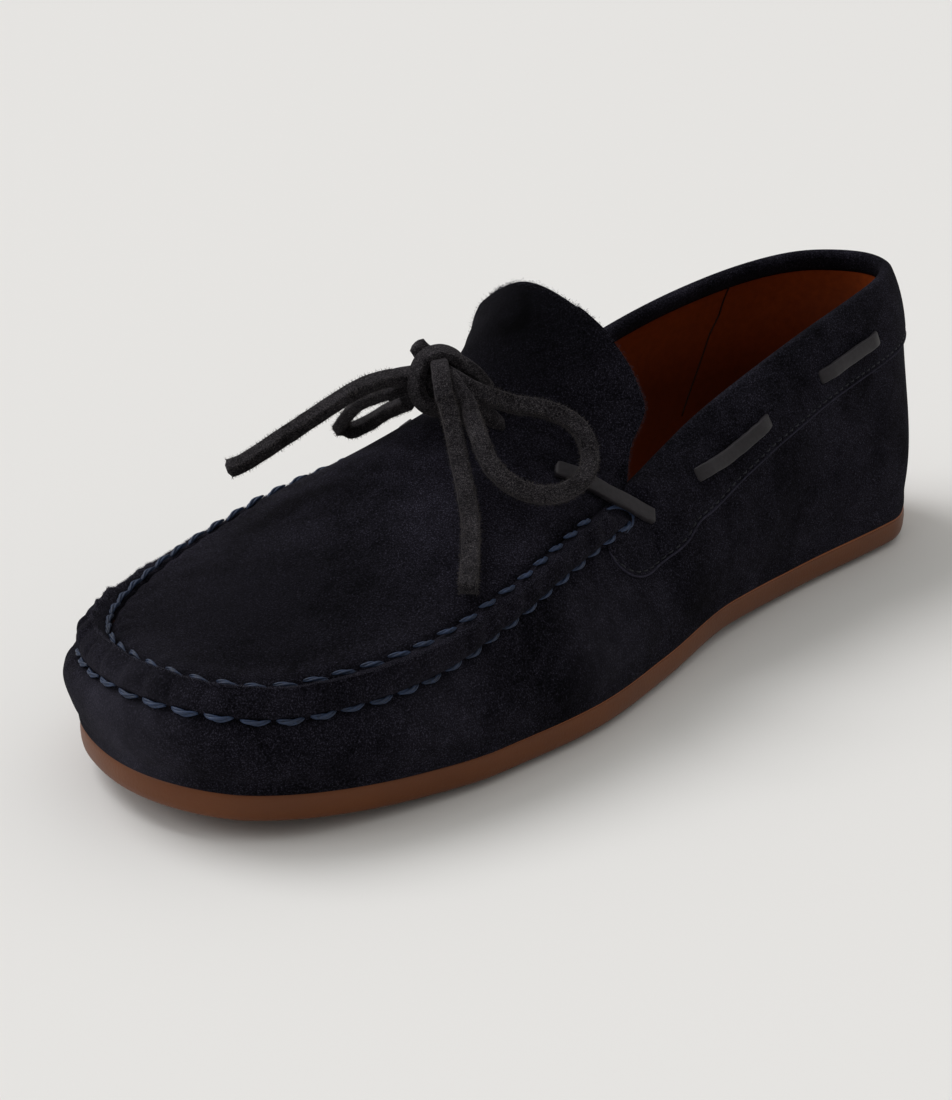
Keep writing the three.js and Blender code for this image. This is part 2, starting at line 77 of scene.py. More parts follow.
# Shares: how far up the wall its two guiding points stand from its ends, and where the sewn ridge starts.
GUIDE_RISE = 0.38
RIDGE_START = 0.05
# How much of a strap's end is rounded, and an up direction that no thread follows.
END_ROUNDING = 0.7
THREAD_UP = np.array([0.31, 0.22, 0.93])
# Radians.
THIRD_TURN = 2.094


# ---- numbers and tables ----
def to_frame(points: Array) -> Array:
    """Shoe millimetres as metres of the frame."""
    return (np.asarray(points, float) - np.array([HEEL_STUD_X, 0.0, 0.0])) * MM


def unit(vectors: Array) -> Array:
    """Vectors at length one."""
    return vectors / np.maximum(np.linalg.norm(vectors, axis=-1, keepdims=True), 1e-9)


def ramp(value: Array, low: float, high: float) -> Array:
    """A smooth step from 0 at low to 1 at high."""
    t = np.clip((np.asarray(value, float) - low) / (high - low), 0, 1)
    return t * t * (3 - 2 * t)


def hump(value: Array, centre: float, width: float) -> Array:
    """A bell of height one."""
    return np.exp(-(((np.asarray(value, float) - centre) / width) ** 2))


def full_turn(count: int) -> Array:
    """Angles evenly round a full turn."""
    return np.linspace(0, 2 * np.pi, count, endpoint=False)


def run_along(line: Array) -> Array:
    """Length run at each point of a line, from 0."""
    return np.concatenate([[0.0], np.cumsum(np.linalg.norm(np.diff(line, axis=0), axis=1))])


def read_along(at: Array, run: Array, rows: Array) -> Array:
    """Rows of numbers that go with a run, read at other places of it."""
    return np.stack([np.interp(at, run, rows[:, k]) for k in range(rows.shape[1])], -1)


def limited_cubic(xs: Array, ys: Array, at: Array) -> Array:
    """A curve through points that never overshoots them.

    Args:
        xs: places, rising.
        ys: values there.
        at: where to read.

    Returns:
        The values read.
    """
    at = np.clip(np.asarray(at, float), xs[0], xs[-1])
    i = np.clip(np.searchsorted(xs, at, side="left") - 1, 0, len(xs) - 2)
    steps = np.diff(ys) / np.diff(xs)
    product = steps[:-1] * steps[1:]
    total = np.where(product > 0, steps[:-1] + steps[1:], 1.0)
    inner = np.where(product > 0, 2 * product / total, 0.0)
    slopes = np.concatenate([steps[:1], inner, steps[-1:]])
    width = xs[i + 1] - xs[i]
    t = (at - xs[i]) / width
    rise = t * t * (3 - 2 * t)
    bend = t * (1 - t) ** 2 * slopes[i] - t * t * (1 - t) * slopes[i + 1]
    return ys[i] * (1 - rise) + ys[i + 1] * rise + width * bend


class Table:
    """Sizes along the shoe: named columns over a key column."""

    def __init__(self, key: str, **columns: Sequence[float]) -> None:
        """Keeps the columns as arrays."""
        self.columns = {name: np.array(values, float) for name, values in columns.items()}
        self.key = self.columns[key]

    def read(self, name: str, at: Array) -> Array:
        """One column, between its rows."""
        return limited_cubic(self.key, self.columns[name], at)

    def half(self, name: str, at: Array) -> Array:
        """A half width, read as its square, which keeps heel and toe round."""
        return np.sqrt(np.maximum(limited_cubic(self.key, self.columns[name] ** 2, at), 0))


SOLE = Table(
    "x",
    x=[0, 8, 30, 60, 85, 110, 150, 183, 215, 235, 252, 274, SOLE_LENGTH],
    mid=[0, 0.6, 0, -0.8, 0.6, 2.2, 3.2, 1, -2.8, -3, -2.2, 0.8, 3],
    half=[0, 20, 32.4, 33.6, 33, 34.2, 41.3, 49, 52, 49, 43.6, 28.5, 0],
    low=[4, 4, 4, 4, 4, 4.5, 5, 6, 6, 6, 5.5, 5, 5],
    high=[2, 2, 2.5, 3, 3, 3, 4, 5.5, 5.5, 5, 4, 3, 3],
)
PLUG = Table(
    "edge_x",
    edge_x=[147, 163, 182, 203, 220, 235, 250, 262, 272, 278.5],
    crest_x=[172, 180, 190, 205, 220, 235, 250, 262, 272, 278.5],
    half=[30.5, 35.2, 39.2, 42.2, 42.4, 40.6, 36.2, 30.4, 21, 0],
    edge_z=[48.3, 47, 44.8, 41.2, 38, 36, 34.7, 34.2, 34.8, 35.9],
    crest_z=[69.5, 65, 60, 53.5, 47.5, 43, 39.6, 37.6, 36.6, 35.9],
    mid=[-2, -2.3, -2.3, -2, -1.2, -0.4, 0.6, 1.8, 3.2, 4.4],
    out=[4.8, 3.2, 2, 1.2, 1.8, 3, 4.2, 5.4, 6.2, 6.4],
    drop=[4.8, 5.8, 6.6, 7.2, 7, 6.4, 5.6, 4.8, 4, 3.6],
)
QUARTER = Table(
    "x",
    x=[0, 12, 30, 60, 90, 120, 140, CORNER_X],
    band_x=[1, 12, 30, 60, 90, 119, 138, 147.5],
    band_half=[0, 20, 28.2, 31.8, 33.8, 35.6, 36.4, 36],
    band_z=[57, 57, 55.4, 51.6, 45.4, 39.4, 39.6, 43.4],
    top_x=[3, 13, 31, 60, 89, 117, 136, 146.6],
    top_half=[0, 14.8, 21.2, 25.2, 27.2, 28, 29.2, 30.5],
    top_z=[75.5, 75.6, 74.4, 70.6, 64.6, 57, 51, 48.3],
    mid=[0, 0, -0.2, -0.8, -1.6, -2, -2, -2],
)
# The tongue goes on from the plug's throat, which is its first row.
TONGUE = Table(
    "t",
    t=[0, 0.04, 0.28, 0.52, 0.76, 0.92, 1],
    crest_x=[172, 171.2, 163.4, 157, 151.4, 148.2, 146.4],
    crest_z=[69.5, 70.2, 76.8, 83, 89, 92.4, 94.2],
    edge_x=[147, 146.4, 142.5, 138, 139, 141.5, 143.5],
    edge_half=[30.5, 30.4, 30, 30.4, 27.4, 21.5, 13],
    edge_z=[48.3, 49, 57.6, 65.6, 74, 83, 89.5],
    mid=[-2, -2.4, -4, -4, -4, -4, -4],
)


class Form:
    """The shoe's form, as functions of an angle round it: 0 at the heel, pi at the toe, outer side first."""

    @staticmethod
    def rib_x(angle: Array) -> Array:
        """How far along the sole a rib stands."""
        return SOLE_LENGTH * (1 - np.cos(angle)) / 2

    @staticmethod
    def side(angle: Array) -> Array:
        """1 on the outer side and -1 on the inner side."""
        return np.where(np.sin(angle) >= 0, 1.0, -1.0)

    @staticmethod
    def lift(x: Array) -> Array:
        """Toe spring and waist: how far the sole's underside rises."""
        spring = TOE_SPRING * np.clip((x - SPRING_START) / (SOLE_LENGTH - SPRING_START), 0, 1) ** 2
        waist = np.clip((x - WAIST_START) / (WAIST_END - WAIST_START), 0, 1)
        return spring + WAIST_LIFT * np.sin(np.pi * waist) ** 2

    @classmethod
    def sole_bottom(cls, x: Array) -> Array:
        """Height of the sole's flat underside."""
        return STUD_HEIGHT + cls.lift(x)

    @classmethod
    def sole_top(cls, x: Array) -> Array:
        """Height of the sole's top."""
        return cls.sole_bottom(x) + SIDE_HEIGHT

    @classmethod
    def sole_edge(cls, angle: Array) -> Array:
        """The sole's outline in plan."""
        x = cls.rib_x(angle)
        y = SOLE.read("mid", x) + cls.side(angle) * SOLE.half("half", x)
        return np.stack([x, y, np.zeros_like(x)], -1)

    @classmethod
    def outward(cls, angle: Array) -> Array:
        """Direction out of the sole's outline."""
        step = 0.02
        along = cls.sole_edge(angle + step) - cls.sole_edge(angle - step)
        return unit(np.stack([-along[..., 1], along[..., 0], np.zeros_like(along[..., 0])], -1))

    @classmethod
    def inset_edge(cls, angle: Array, inset: Array | float, z: Array) -> Array:
        """The outline moved in, at a height."""
        points = cls.sole_edge(angle) - cls.outward(angle) * np.asarray(inset)[..., None]
        points[..., 2] = z
        return points

    @staticmethod
    def plug_point(edge_x: Array, s: Array) -> Array:
        """A point of the plug: its cross curve's end place, and s from -1 (inner) to 1 (outer)."""
        crest_x, crest_z = PLUG.read("crest_x", edge_x), PLUG.read("crest_z", edge_x)
        return np.stack([
            crest_x - (crest_x - edge_x) * s * s,
            PLUG.read("mid", edge_x) + PLUG.half("half", edge_x) * s,
            crest_z - (crest_z - PLUG.read("edge_z", edge_x)) * s * s,
        ], -1)

    @classmethod
    def share(cls, angle: Array) -> Array:
        """Place along the plug's seam: 0 at the throat, 1 at the toe, below 0 in the quarters."""
        return (cls.rib_x(angle) - CORNER_X) / (SOLE_LENGTH - CORNER_X)

    @staticmethod
    def seam_x(share: Array) -> Array:
        """The plug's cross curve that meets the seam there."""
        return PLUG.key[0] + np.clip(share, 0, 1) * (PLUG.key[-1] - PLUG.key[0])

    @classmethod
    def rows(cls, angle: Array) -> tuple[Array, Array]:
        """A rib's two upper rows.

        Args:
            angle: ribs.

        Returns:
            The wrap's stitch row or the band's lower edge, and the plug's stitch row or the collar's top.
        """
        x, side, out = cls.rib_x(angle), cls.side(angle), cls.outward(angle)
        seam_x = cls.seam_x(cls.share(angle))
        plug = cls.plug_point(seam_x, side)
        wrap = plug + out * PLUG.read("out", seam_x)[..., None]
        wrap[..., 2] -= PLUG.read("drop", seam_x)
        mid = QUARTER.read("mid", x)
        band, top = (
            np.stack([QUARTER.read(f"{row}_x", x), middle + side * QUARTER.half(f"{row}_half", x),
                      QUARTER.read(f"{row}_z", x)], -1)
            for row, middle in (("band", (mid + SOLE.read("mid", x)) / 2), ("top", mid)))
        front = (cls.share(angle) > 0)[..., None]
        blend = ramp(x, BLEND_FROM, BLEND_TO)[..., None]
        return band + (wrap - band) * blend, np.where(front, plug, top)

    @classmethod
    def foot_inset(cls, x: Array) -> Array:
        """How far inside the sole's edge the upper stands."""
        return HEEL_INSET + (FEATHER_INSET - HEEL_INSET) * ramp(x, 0, HEEL_INSET_LENGTH)

    @classmethod
    def wall(cls, angle: Array, t: Array) -> Array:
        """The side wall, from the sole (t 0) to its upper row (t 1). angle and t broadcast together."""
        angle, t = np.broadcast_arrays(angle, t)
        x = cls.rib_x(angle)
        foot = cls.inset_edge(angle, cls.foot_inset(x), cls.sole_top(x) + GAP)
        row, _ = cls.rows(angle)
        out = cls.outward(angle)
        rise = np.zeros_like(foot)
        rise[..., 2] = GUIDE_RISE * (row[..., 2] - foot[..., 2])
        low = foot + rise + out * SOLE.read("low", x)[..., None]
        high = row - rise + out * SOLE.read("high", x)[..., None]
        u, t = (1 - t)[..., None], t[..., None]
        return foot * u ** 3 + low * 3 * u * u * t + high * 3 * u * t * t + row * t ** 3

    @classmethod
    def band(cls, angle: Array, t: Array) -> Array:
        """The quarters above the wall, from the band's lower edge (t 0) to the collar's top (t 1)."""
        angle, t = np.broadcast_arrays(angle, t)
        row, top = cls.rows(angle)
        points = row + (top - row) * t[..., None]
        full = 4 * t * (1 - t) * (1.2 + 1.6 * ramp(cls.rib_x(angle), 110, CORNER_X)) * 0.7
        points = points + cls.outward(angle) * full[..., None]
        points[..., 2] += full
        return points

    @classmethod
    def shell(cls, angle: Array, v: Array) -> Array:
        """The outside: v is 0 at the sole, 1 at the upper row, 2 at the collar's top or the plug's seam."""
        angle, v = np.broadcast_arrays(angle, v)
        low = cls.wall(angle, np.clip(v, 0, 1))
        row, top = cls.rows(angle)
        t = np.clip(v - 1, 0, 1)
        ridge = row + (top - row) * t[..., None]
        high = np.where((cls.share(angle) > 0)[..., None], ridge, cls.band(angle, t))
        return np.where((v > 1)[..., None], high, low)

    @classmethod
    def on_shell(cls, x: float, v: float, side: float, lift: float) -> Array:
        """A point on the shell at a sole x and row v, raised off it."""
        rib = side * math.acos(1 - 2 * x / SOLE_LENGTH)
        grid = cls.shell(np.array([[rib - 0.01, rib, rib + 0.01]]), np.array([[v - 0.02], [v], [v + 0.02]]))
        return grid[1, 1] + grid_normals(grid, False)[1, 1] * lift

    @classmethod
    def ridge(cls, angle: Array) -> tuple[Array, Array, Array]:
        """The ridge's base at each rib: its lower row, the way to its upper row, and the way it swells."""
        row, top = cls.rows(angle)
        across, out = top - row, cls.outward(angle)
        width = np.linalg.norm(across, axis=-1, keepdims=True)
        level = -(across * out).sum(-1, keepdims=True)
        return row, across, out * across[:, 2:3] / width + np.array([0.0, 0.0, 1.0]) * level / width

    @staticmethod
    def narrowed(ring: Array, x: Array, share: float) -> Array:
        """A ring drawn in towards the sole's middle line, to a share of its width."""
        mid = SOLE.read("mid", x)
        return np.stack([ring[:, 0], mid + (ring[:, 1] - mid) * share, ring[:, 2]], -1)


FRONT_ANGLE = math.acos(1 - 2 * CORNER_X / SOLE_LENGTH)
SEAM_ANGLES = np.linspace(FRONT_ANGLE + 1e-4, 2 * math.pi - FRONT_ANGLE - 1e-4, 1600)
SEAM_LENGTHS = run_along(np.mean(Form.rows(SEAM_ANGLES), axis=0))
STITCHES = int(round(SEAM_LENGTHS[-1] / STITCH_PITCH))


def stitch_phase(angle: Array) -> Array:
    """How many stitches have been sewn from the outer throat corner up to a rib."""
    return np.interp(angle, SEAM_ANGLES, SEAM_LENGTHS) / SEAM_LENGTHS[-1] * STITCHES


def phase_angle(phase: Array) -> Array:
    """The rib at a count of stitches."""
    return np.interp(np.asarray(phase, float) / STITCHES * SEAM_LENGTHS[-1], SEAM_LENGTHS, SEAM_ANGLES)


# ---- creases ----
@dataclass(frozen=True)
class Crease:
    """A soft trough (depth below 0) or ridge (above 0) along a line, in shoe millimetres."""

    start: Point
    end: Point
    width: float
    depth: float

    def relief(self, points: Array) -> Array:
        """How far each point moves out along its normal."""
        a, b = np.array(self.start), np.array(self.end)
        along = b - a
        t = np.clip(((points - a) @ along) / (along @ along), 0, 1)
        away = np.linalg.norm(points - (a + t[..., None] * along), axis=-1)
        fade = 0.35 + 0.65 * np.sin(np.pi * (0.12 + 0.76 * t))
        return self.depth * hump(away, 0, self.width) * fade


CREASES = (
    Crease((168, 46, 38), (160, 47, 15), 5.0, 0.7),
    Crease((180, 47, 36), (172, 50, 14), 4.5, -0.8),
    Crease((192, 48, 33), (187, 53, 16), 4.5, 0.5),
    Crease((204, 48, 30), (202, 54, 16), 4.0, -0.5),
    Crease((150, 44, 28), (138, 41, 16), 5.0, -0.7),
    Crease((166, -46, 38), (158, -45, 15), 5.0, 0.7),
    Crease((178, -47, 36), (170, -50, 14), 4.5, -0.8),
    Crease((202, -50, 30), (200, -55, 16), 4.0, -0.5),
    Crease((146, -42, 28), (134, -38, 16), 5.0, -0.6),
    Crease((186, -26, 58), (182, 20, 60), 5.0, -0.6),
    Crease((199, -28, 52), (196, 24, 53), 6.0, -0.5),
    Crease((236, -16, 43), (228, 22, 44), 9.0, 0.5),
    Crease((60, 35, 44), (84, 36, 24), 7.0, -0.6),
    Crease((96, 36, 40), (110, 38, 20), 7.0, -0.5),
    Crease((56, -35, 44), (80, -36, 24), 7.0, -0.6),
    Crease((34, 31, 46), (40, 34, 20), 6.0, 0.5),
    Crease((156, 18, 78), (150, -12, 84), 8.0, -1.0),
    Crease((160, -22, 72), (152, -6, 84), 6.0, 0.5),
)


def crease_relief(points: Array) -> Array:
    """All the creases together."""
    return sum(crease.relief(points) for crease in CREASES)


# ---- meshes ----
def grid_faces(rows: int, columns: int, round_rows: bool = False, round_columns: bool = False) -> Array:
    """Quads of a grid of points.

    Args:
        rows: rows of points.
        columns: points in a row.
        round_rows: the last row joins the first.
        round_columns: each row is a closed loop.

    Returns:
        Four indices for each quad.
    """
    r = np.arange(rows if round_rows else rows - 1)[:, None]
    c = np.arange(columns if round_columns else columns - 1)[None, :]
    r2, c2 = (r + 1) % rows, (c + 1) % columns
    corners = [r * columns + c, r2 * columns + c, r2 * columns + c2, r * columns + c2]
    return np.stack(np.broadcast_arrays(*corners), -1).reshape(-1, 4)


def grid_normals(grid: Array, round_columns: bool) -> Array:
    """Normals of a grid, rows up and columns clockwise from above, so that they point out."""
    up = np.gradient(grid, axis=0)
    if round_columns:
        along = np.roll(grid, -1, axis=1) - np.roll(grid, 1, axis=1)
    else:
        along = np.gradient(grid, axis=1)
    return unit(np.cross(up, along))


class Bin:
    """Collects closed bodies in shoe millimetres and makes one mesh object of them."""

    def __init__(self, name: str) -> None:
        """Starts empty."""
        self.name = name
        self.points: list[Array] = []
        self.faces: list[tuple[int, ...]] = []
        self.count = 0

    def add(self, points: Array, faces: Sequence[Sequence[int]]) -> "Bin":
        """Adds one body."""
        self.points.append(np.asarray(points, float).reshape(-1, 3))
        self.faces.extend(tuple(int(i) + self.count for i in face) for face in faces)
        self.count += len(self.points[-1])
        return self

    def add_rings(self, rings: Array) -> "Bin":
        """Adds a tube of rings with flat ends."""
        rows, sides = rings.shape[:2]
        faces = [*grid_faces(rows, sides, round_columns=True), range(sides)[::-1]]
        return self.add(rings, [*faces, range((rows - 1) * sides, rows * sides)])

    def add_torus(self, rings: Array) -> "Bin":
        """Adds rings that close on themselves."""
        return self.add(rings, grid_faces(*rings.shape[:2], True, True))

    def add_sheet(self, front: Array, back: Array) -> "Bin":
        """Adds a sheet between two grids of the same size."""
        rows, columns = front.shape[:2]
        under = rows * columns
        quads = grid_faces(rows, columns)
        rim = list(range(columns - 1))
        rim += [r * columns + columns - 1 for r in range(rows - 1)]
        rim += [(rows - 1) * columns + c for c in range(columns - 1, 0, -1)]
        rim += [r * columns for r in range(rows - 1, 0, -1)]
        sides = [(a, b, b + under, a + under) for a, b in zip(rim, rim[1:] + rim[:1])]
        points = np.concatenate([front.reshape(-1, 3), back.reshape(-1, 3)])
        return self.add(points, [*quads, *(quads[:, ::-1] + under), *sides])

    def build(self, material: bpy.types.Material, slot: str = "",
              replaces: Sequence[str] = ()) -> bpy.types.Object:
        """Makes the object, faces outward, and places it on the shoe.

        Args:
            material: its finish.
            slot: not used.
            replaces: CAD nodes it stands for.

        Returns:
            The object.
        """
        mesh = bpy.data.meshes.new(self.name)
        mesh.from_pydata(to_frame(np.concatenate(self.points)).tolist(), [], self.faces)
        mesh.validate()
        mesh.polygons.foreach_set("use_smooth", [True] * len(mesh.polygons))
        mesh.update()
        piece = put_in_scene(self.name, mesh)
        mesh.materials.append(material)
        turn_outward(mesh)
        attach(piece, "root")
        if replaces:
            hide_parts(*replaces)
        log.info("%s: %d points, %d faces", self.name, len(mesh.vertices), len(mesh.polygons))
        return piece


def put_in_scene(name: str, data: bpy.types.ID) -> bpy.types.Object:
    """Makes an object of a mesh, camera or lamp."""
    piece = bpy.data.objects.new(name, data)
    bpy.context.scene.collection.objects.link(piece)
    return piece


def turn_outward(mesh: bpy.types.Mesh) -> None:
    """Turns every closed body's faces outward."""
    work = bmesh.new()
    work.from_mesh(mesh)
    bmesh.ops.recalc_face_normals(work, faces=work.faces)
    work.to_mesh(mesh)
    work.free()


def smooth_route(points: Sequence[Sequence[float]], spacing: float) -> Array:
    """A smooth line through points.

    Args:
        points: the points, in shoe millimetres.
        spacing: about how far apart the line's own points come.

    Returns:
        The line's points, evenly apart.
    """
    knots = np.asarray(points, float)
    ends = np.concatenate([[2 * knots[0] - knots[1]], knots, [2 * knots[-1] - knots[-2]]])
    fine = []
    for i in range(1, len(ends) - 2):
        p0, p1, p2, p3 = ends[i - 1:i + 3]
        for t in np.linspace(0, 1, 24, endpoint=False):
            fine.append(0.5 * (2 * p1 + (p2 - p0) * t + (2 * p0 - 5 * p1 + 4 * p2 - p3) * t * t
                               + (3 * p1 - p0 - 3 * p2 + p3) * t ** 3))
    line = np.array(fine + [knots[-1]])
    run = run_along(line)
    steps = max(int(round(run[-1] / spacing)), 3)
    return read_along(np.linspace(0, run[-1], steps + 1), run, line)


def frames_along(line: Array, up: Array) -> tuple[Array, Array]:
    """Side and up directions along a line.

    Args:
        line: the line's points.
        up: one wished up direction, or one for each point.

    Returns:
        Side directions and up directions.
    """
    tangent = unit(np.gradient(line, axis=0))
    wished = np.broadcast_to(up, line.shape)
    side = unit(np.cross(tangent, wished))
    for i in range(1, len(side)):
        if side[i] @ side[i - 1] < 0:
            side[i] *= -1
    return side, unit(np.cross(side, tangent))


def strap_rings(line: Array, up: Array, width: float, thickness: float, rng: np.random.Generator,
                rough: float = 0.05, sides: int = 20, boxy: float = 0.4, open_start: bool = False) -> Array:
    """Rings of a cut leather strap along a line, its edges a little uneven and its ends rounded.

    Args:
        line: its middle line.
        up: direction of its flat face.
        width: across the flat face.
        thickness: the other way.
        rng: source of its unevenness.
        rough: how uneven.
        sides: points in a ring.
        boxy: 1 is an oval and less is squarer.
        open_start: the start runs on inside another piece, so it isn't rounded.

    Returns:
        The rings.
    """
    side, face = frames_along(line, up)
    phi = full_turn(sides)
    across = np.sign(np.cos(phi)) * np.abs(np.cos(phi)) ** boxy * width / 2
    through = np.sign(np.sin(phi)) * np.abs(np.sin(phi)) ** boxy * thickness / 2
    coarse = rng.normal(0, 1, (len(line) // 3 + 4, sides))
    uneven = read_along(np.linspace(0, len(coarse) - 1, len(line)), np.arange(len(coarse)), coarse)
    run = run_along(line)
    end = run[-1] - run if open_start else np.minimum(run, run[-1] - run)
    close = 1 - np.clip(end / END_ROUNDING, 0, 1)
    scale = (1 + rough * uneven / width * 2) * (0.45 + 0.55 * np.sqrt(1 - close ** 2))[:, None]
    return (line[:, None, :] + side[:, None, :] * (across * scale)[..., None]
            + face[:, None, :] * (through * scale)[..., None])


def tube_rings(line: Array, radius: Array | float, sides: int) -> Array:
    """Rings of a round thread."""
    side, face = frames_along(line, THREAD_UP)
    phi = full_turn(sides)
    swell = np.broadcast_to(radius, (len(line),))[:, None, None]
    return (line[:, None, :] + side[:, None, :] * (np.cos(phi)[None, :, None] * swell)
            + face[:, None, :] * (np.sin(phi)[None, :, None] * swell))


def add_fibres(store: Bin, roots: Array, leans: Array, lengths: Array, radius: float) -> None:
    """Adds short tapered fibres, each a closed three-sided spike.

    Args:
        store: where they go.
        roots: their roots.
        leans: their directions.
        lengths: their lengths.
        radius: at the root.
    """
    side = unit(np.cross(leans, np.array([0.2, 0.5, 0.84])))
    face = unit(np.cross(side, leans))
    tips = roots + leans * lengths[:, None]
    corners = [roots - leans * 0.15 + radius * (math.cos(a) * side + math.sin(a) * face)
               for a in (0, THIRD_TURN, 2 * THIRD_TURN)]
    points = np.stack([*corners, tips], 1).reshape(-1, 3)
    base = np.arange(len(roots))[:, None] * 4
    for face_of in ((0, 1, 2), (0, 3, 1), (1, 3, 2), (2, 3, 0)):
        store.faces.extend(map(tuple, (base + np.array(face_of) + store.count).tolist()))
    store.points.append(points)
    store.count += len(points)


# ---- finishes ----
def linear(code: str) -> tuple[float, float, float, float]:
    """An sRGB hex colour as linear light."""
    parts = [int(code[i:i + 2], 16) / 255 for i in (1, 3, 5)]
    red, green, blue = (c / 12.92 if c <= 0.04045 else ((c + 0.055) / 1.055) ** 2.4 for c in parts)
    return red, green, blue, 1.0


def add_node(tree: bpy.types.NodeTree, kind: str, settings: dict | None = None, links: dict | None = None,
             give: str | int = 0) -> bpy.types.NodeSocket:
    """Adds a shader node.

    Args:
        tree: where to.
        kind: the node's type, after "ShaderNode".
        settings: socket values by name or number, and the node's own properties by name.
        links: sockets that feed it, by its input's name or number.
        give: the wanted output's name or number.

    Returns:
        That output.
    """
    made = tree.nodes.new("ShaderNode" + kind)
    for key, value in (settings or {}).items():
        if isinstance(key, str) and hasattr(made, key):
            setattr(made, key, value)
        else:
            made.inputs[key].default_value = value
    for key, source in (links or {}).items():
        tree.links.new(source, made.inputs[key])
    return made.outputs[give]


def new_material(name: str, **values: object
                 ) -> tuple[bpy.types.Material, bpy.types.NodeTree, bpy.types.ShaderNode]:
    """A material, its nodes and its shader, whose own values are given by name with _ for a space."""
    made = bpy.data.materials.new(name)
    made.use_nodes = True
    shader = made.node_tree.nodes["Principled BSDF"]
    for socket, value in values.items():
        shader.inputs[socket.replace("_", " ")].default_value = value
    return made, made.node_tree, shader


class Grain(Enum):
    """How a leather's surface was made."""

    BRUSHED = "brushed"
    SMOOTH = "smooth"
    CUT = "cut"

    @property
    def stretch(self) -> Point:
        """Scale of the grain along x, y and z: a cut side's is drawn out."""
        return (0.6, 0.6, 1.0) if self is Grain.CUT else (1.0, 1.0, 1.0)


@dataclass(frozen=True)
class PaintedLightPatch:
    """A painted highlight or painted shade: a place where the colour is painted lighter or darker, centre and
    reach in shoe millimetres.
    """

    centre: Point
    reach: float
    strength: float
    colour: str


@dataclass(frozen=True)
class Leather:
    """A leather finish: two colours mottled together, a fine grain and a coarse one in relief."""

    name: str
    dark: str
    light: str
    grain: Grain
    grain_mm: float
    mottle_mm: float
    relief_mm: float
    roughness: float
    sheen: float = 0.0
    sheen_tint: str = "#ffffff"
    specular: float = 0.5
    contrast: float = 0.5
    speck: str = ""
    speck_mm: float = 0.3
    painted_light_patches: tuple[PaintedLightPatch, ...] = ()
    shade: float = 1.0

    def material(self) -> bpy.types.Material:
        """Builds the material."""
        made, tree, shader = new_material(
            self.name, Roughness=self.roughness, Specular_IOR_Level=self.specular, IOR=1.5,
            Sheen_Weight=self.sheen, Sheen_Roughness=0.45, Sheen_Tint=linear(self.sheen_tint))
        place = add_node(tree, "TexCoord", give="Object")
        mapped = add_node(tree, "Mapping", {"Scale": self.grain.stretch}, {"Vector": place})
        mottle = 1 / (self.mottle_mm * MM)
        fine = add_node(tree, "TexNoise", {"Scale": 1 / (self.grain_mm * MM), "Detail": 4.0,
                                           "Roughness": 0.65}, {"Vector": mapped})
        coarse = add_node(tree, "TexNoise", {"Scale": mottle, "Detail": 3.0, "Roughness": 0.55,
                                             "Distortion": 0.6}, {"Vector": place})
        swathe = add_node(tree, "TexNoise", {"Scale": 0.28 * mottle, "Detail": 2.0}, {"Vector": place})
        near = add_node(tree, "Math", {"operation": "MULTIPLY", 1: 0.55}, {0: fine})
        far = add_node(tree, "Math", {"operation": "MULTIPLY_ADD", 1: 0.22}, {0: coarse, 2: near})
        mix = add_node(tree, "Math", {"operation": "MULTIPLY_ADD", 1: 0.23}, {0: swathe, 2: far})
        reach = self.contrast / 4
        spread = add_node(tree, "MapRange", {"From Min": 0.5 - reach, "From Max": 0.5 + reach}, {"Value": mix})
        colour = add_node(tree, "Mix", {"data_type": "RGBA", 6: linear(self.dark), 7: linear(self.light)},
                          {0: spread}, 2)
        if self.speck:
            tips = add_node(tree, "TexNoise", {"Scale": 1 / (self.speck_mm * MM), "Detail": 1.5,
                                               "Roughness": 0.6}, {"Vector": place})
            shown = add_node(tree, "MapRange", {"From Min": 0.5, "From Max": 0.72}, {"Value": tips})
            swept = add_node(tree, "Math", {"operation": "MULTIPLY"}, {0: shown, 1: spread})
            colour = add_node(tree, "Mix", {"data_type": "RGBA", 7: linear(self.speck)},
                              {0: swept, 6: colour}, 2)
        # Painted shade: the colour darkens towards the bottom of the shoe, from 70 mm high down to 40 mm.
        if self.shade < 1:
            level = add_node(tree, "SeparateXYZ", {}, {0: place}, "Z")
            deep = add_node(tree, "MapRange", {"From Min": 0.04, "From Max": 0.07, "To Min": self.shade},
                            {"Value": level})
            colour = add_node(tree, "Mix", {"data_type": "RGBA", "blend_type": "MULTIPLY", 0: 1.0},
                              {6: colour, 7: deep}, 2)
        # Painted highlights and painted shade: each patch paints the colour lighter or darker round a place,
        # mottled by the coarse noise.
        for patch in self.painted_light_patches:
            spot = tuple(to_frame(patch.centre).tolist())
            away = add_node(tree, "VectorMath", {"operation": "DISTANCE", 1: spot}, {0: place}, "Value")
            fade = add_node(tree, "MapRange",
                            {"interpolation_type": "SMOOTHSTEP", "From Min": patch.reach * MM, "From Max": 0.0,
                             "To Max": patch.strength}, {"Value": away})
            cloudy = add_node(tree, "Math", {"operation": "MULTIPLY_ADD", 1: 1.2, 2: 0.4}, {0: coarse})
            brushed = add_node(tree, "Math", {"operation": "MULTIPLY"}, {0: fade, 1: cloudy})
            colour = add_node(tree, "Mix", {"data_type": "RGBA", 7: linear(patch.colour)},
                              {0: brushed, 6: colour}, 2)
        tree.links.new(colour, shader.inputs["Base Color"])
        height = add_node(tree, "Math", {"operation": "MULTIPLY_ADD", 1: 0.35}, {0: coarse, 2: fine})
        bump = add_node(tree, "Bump", {"Strength": 1.0, "Distance": self.relief_mm * MM}, {"Height": height})
        tree.links.new(bump, shader.inputs["Normal"])
        return made


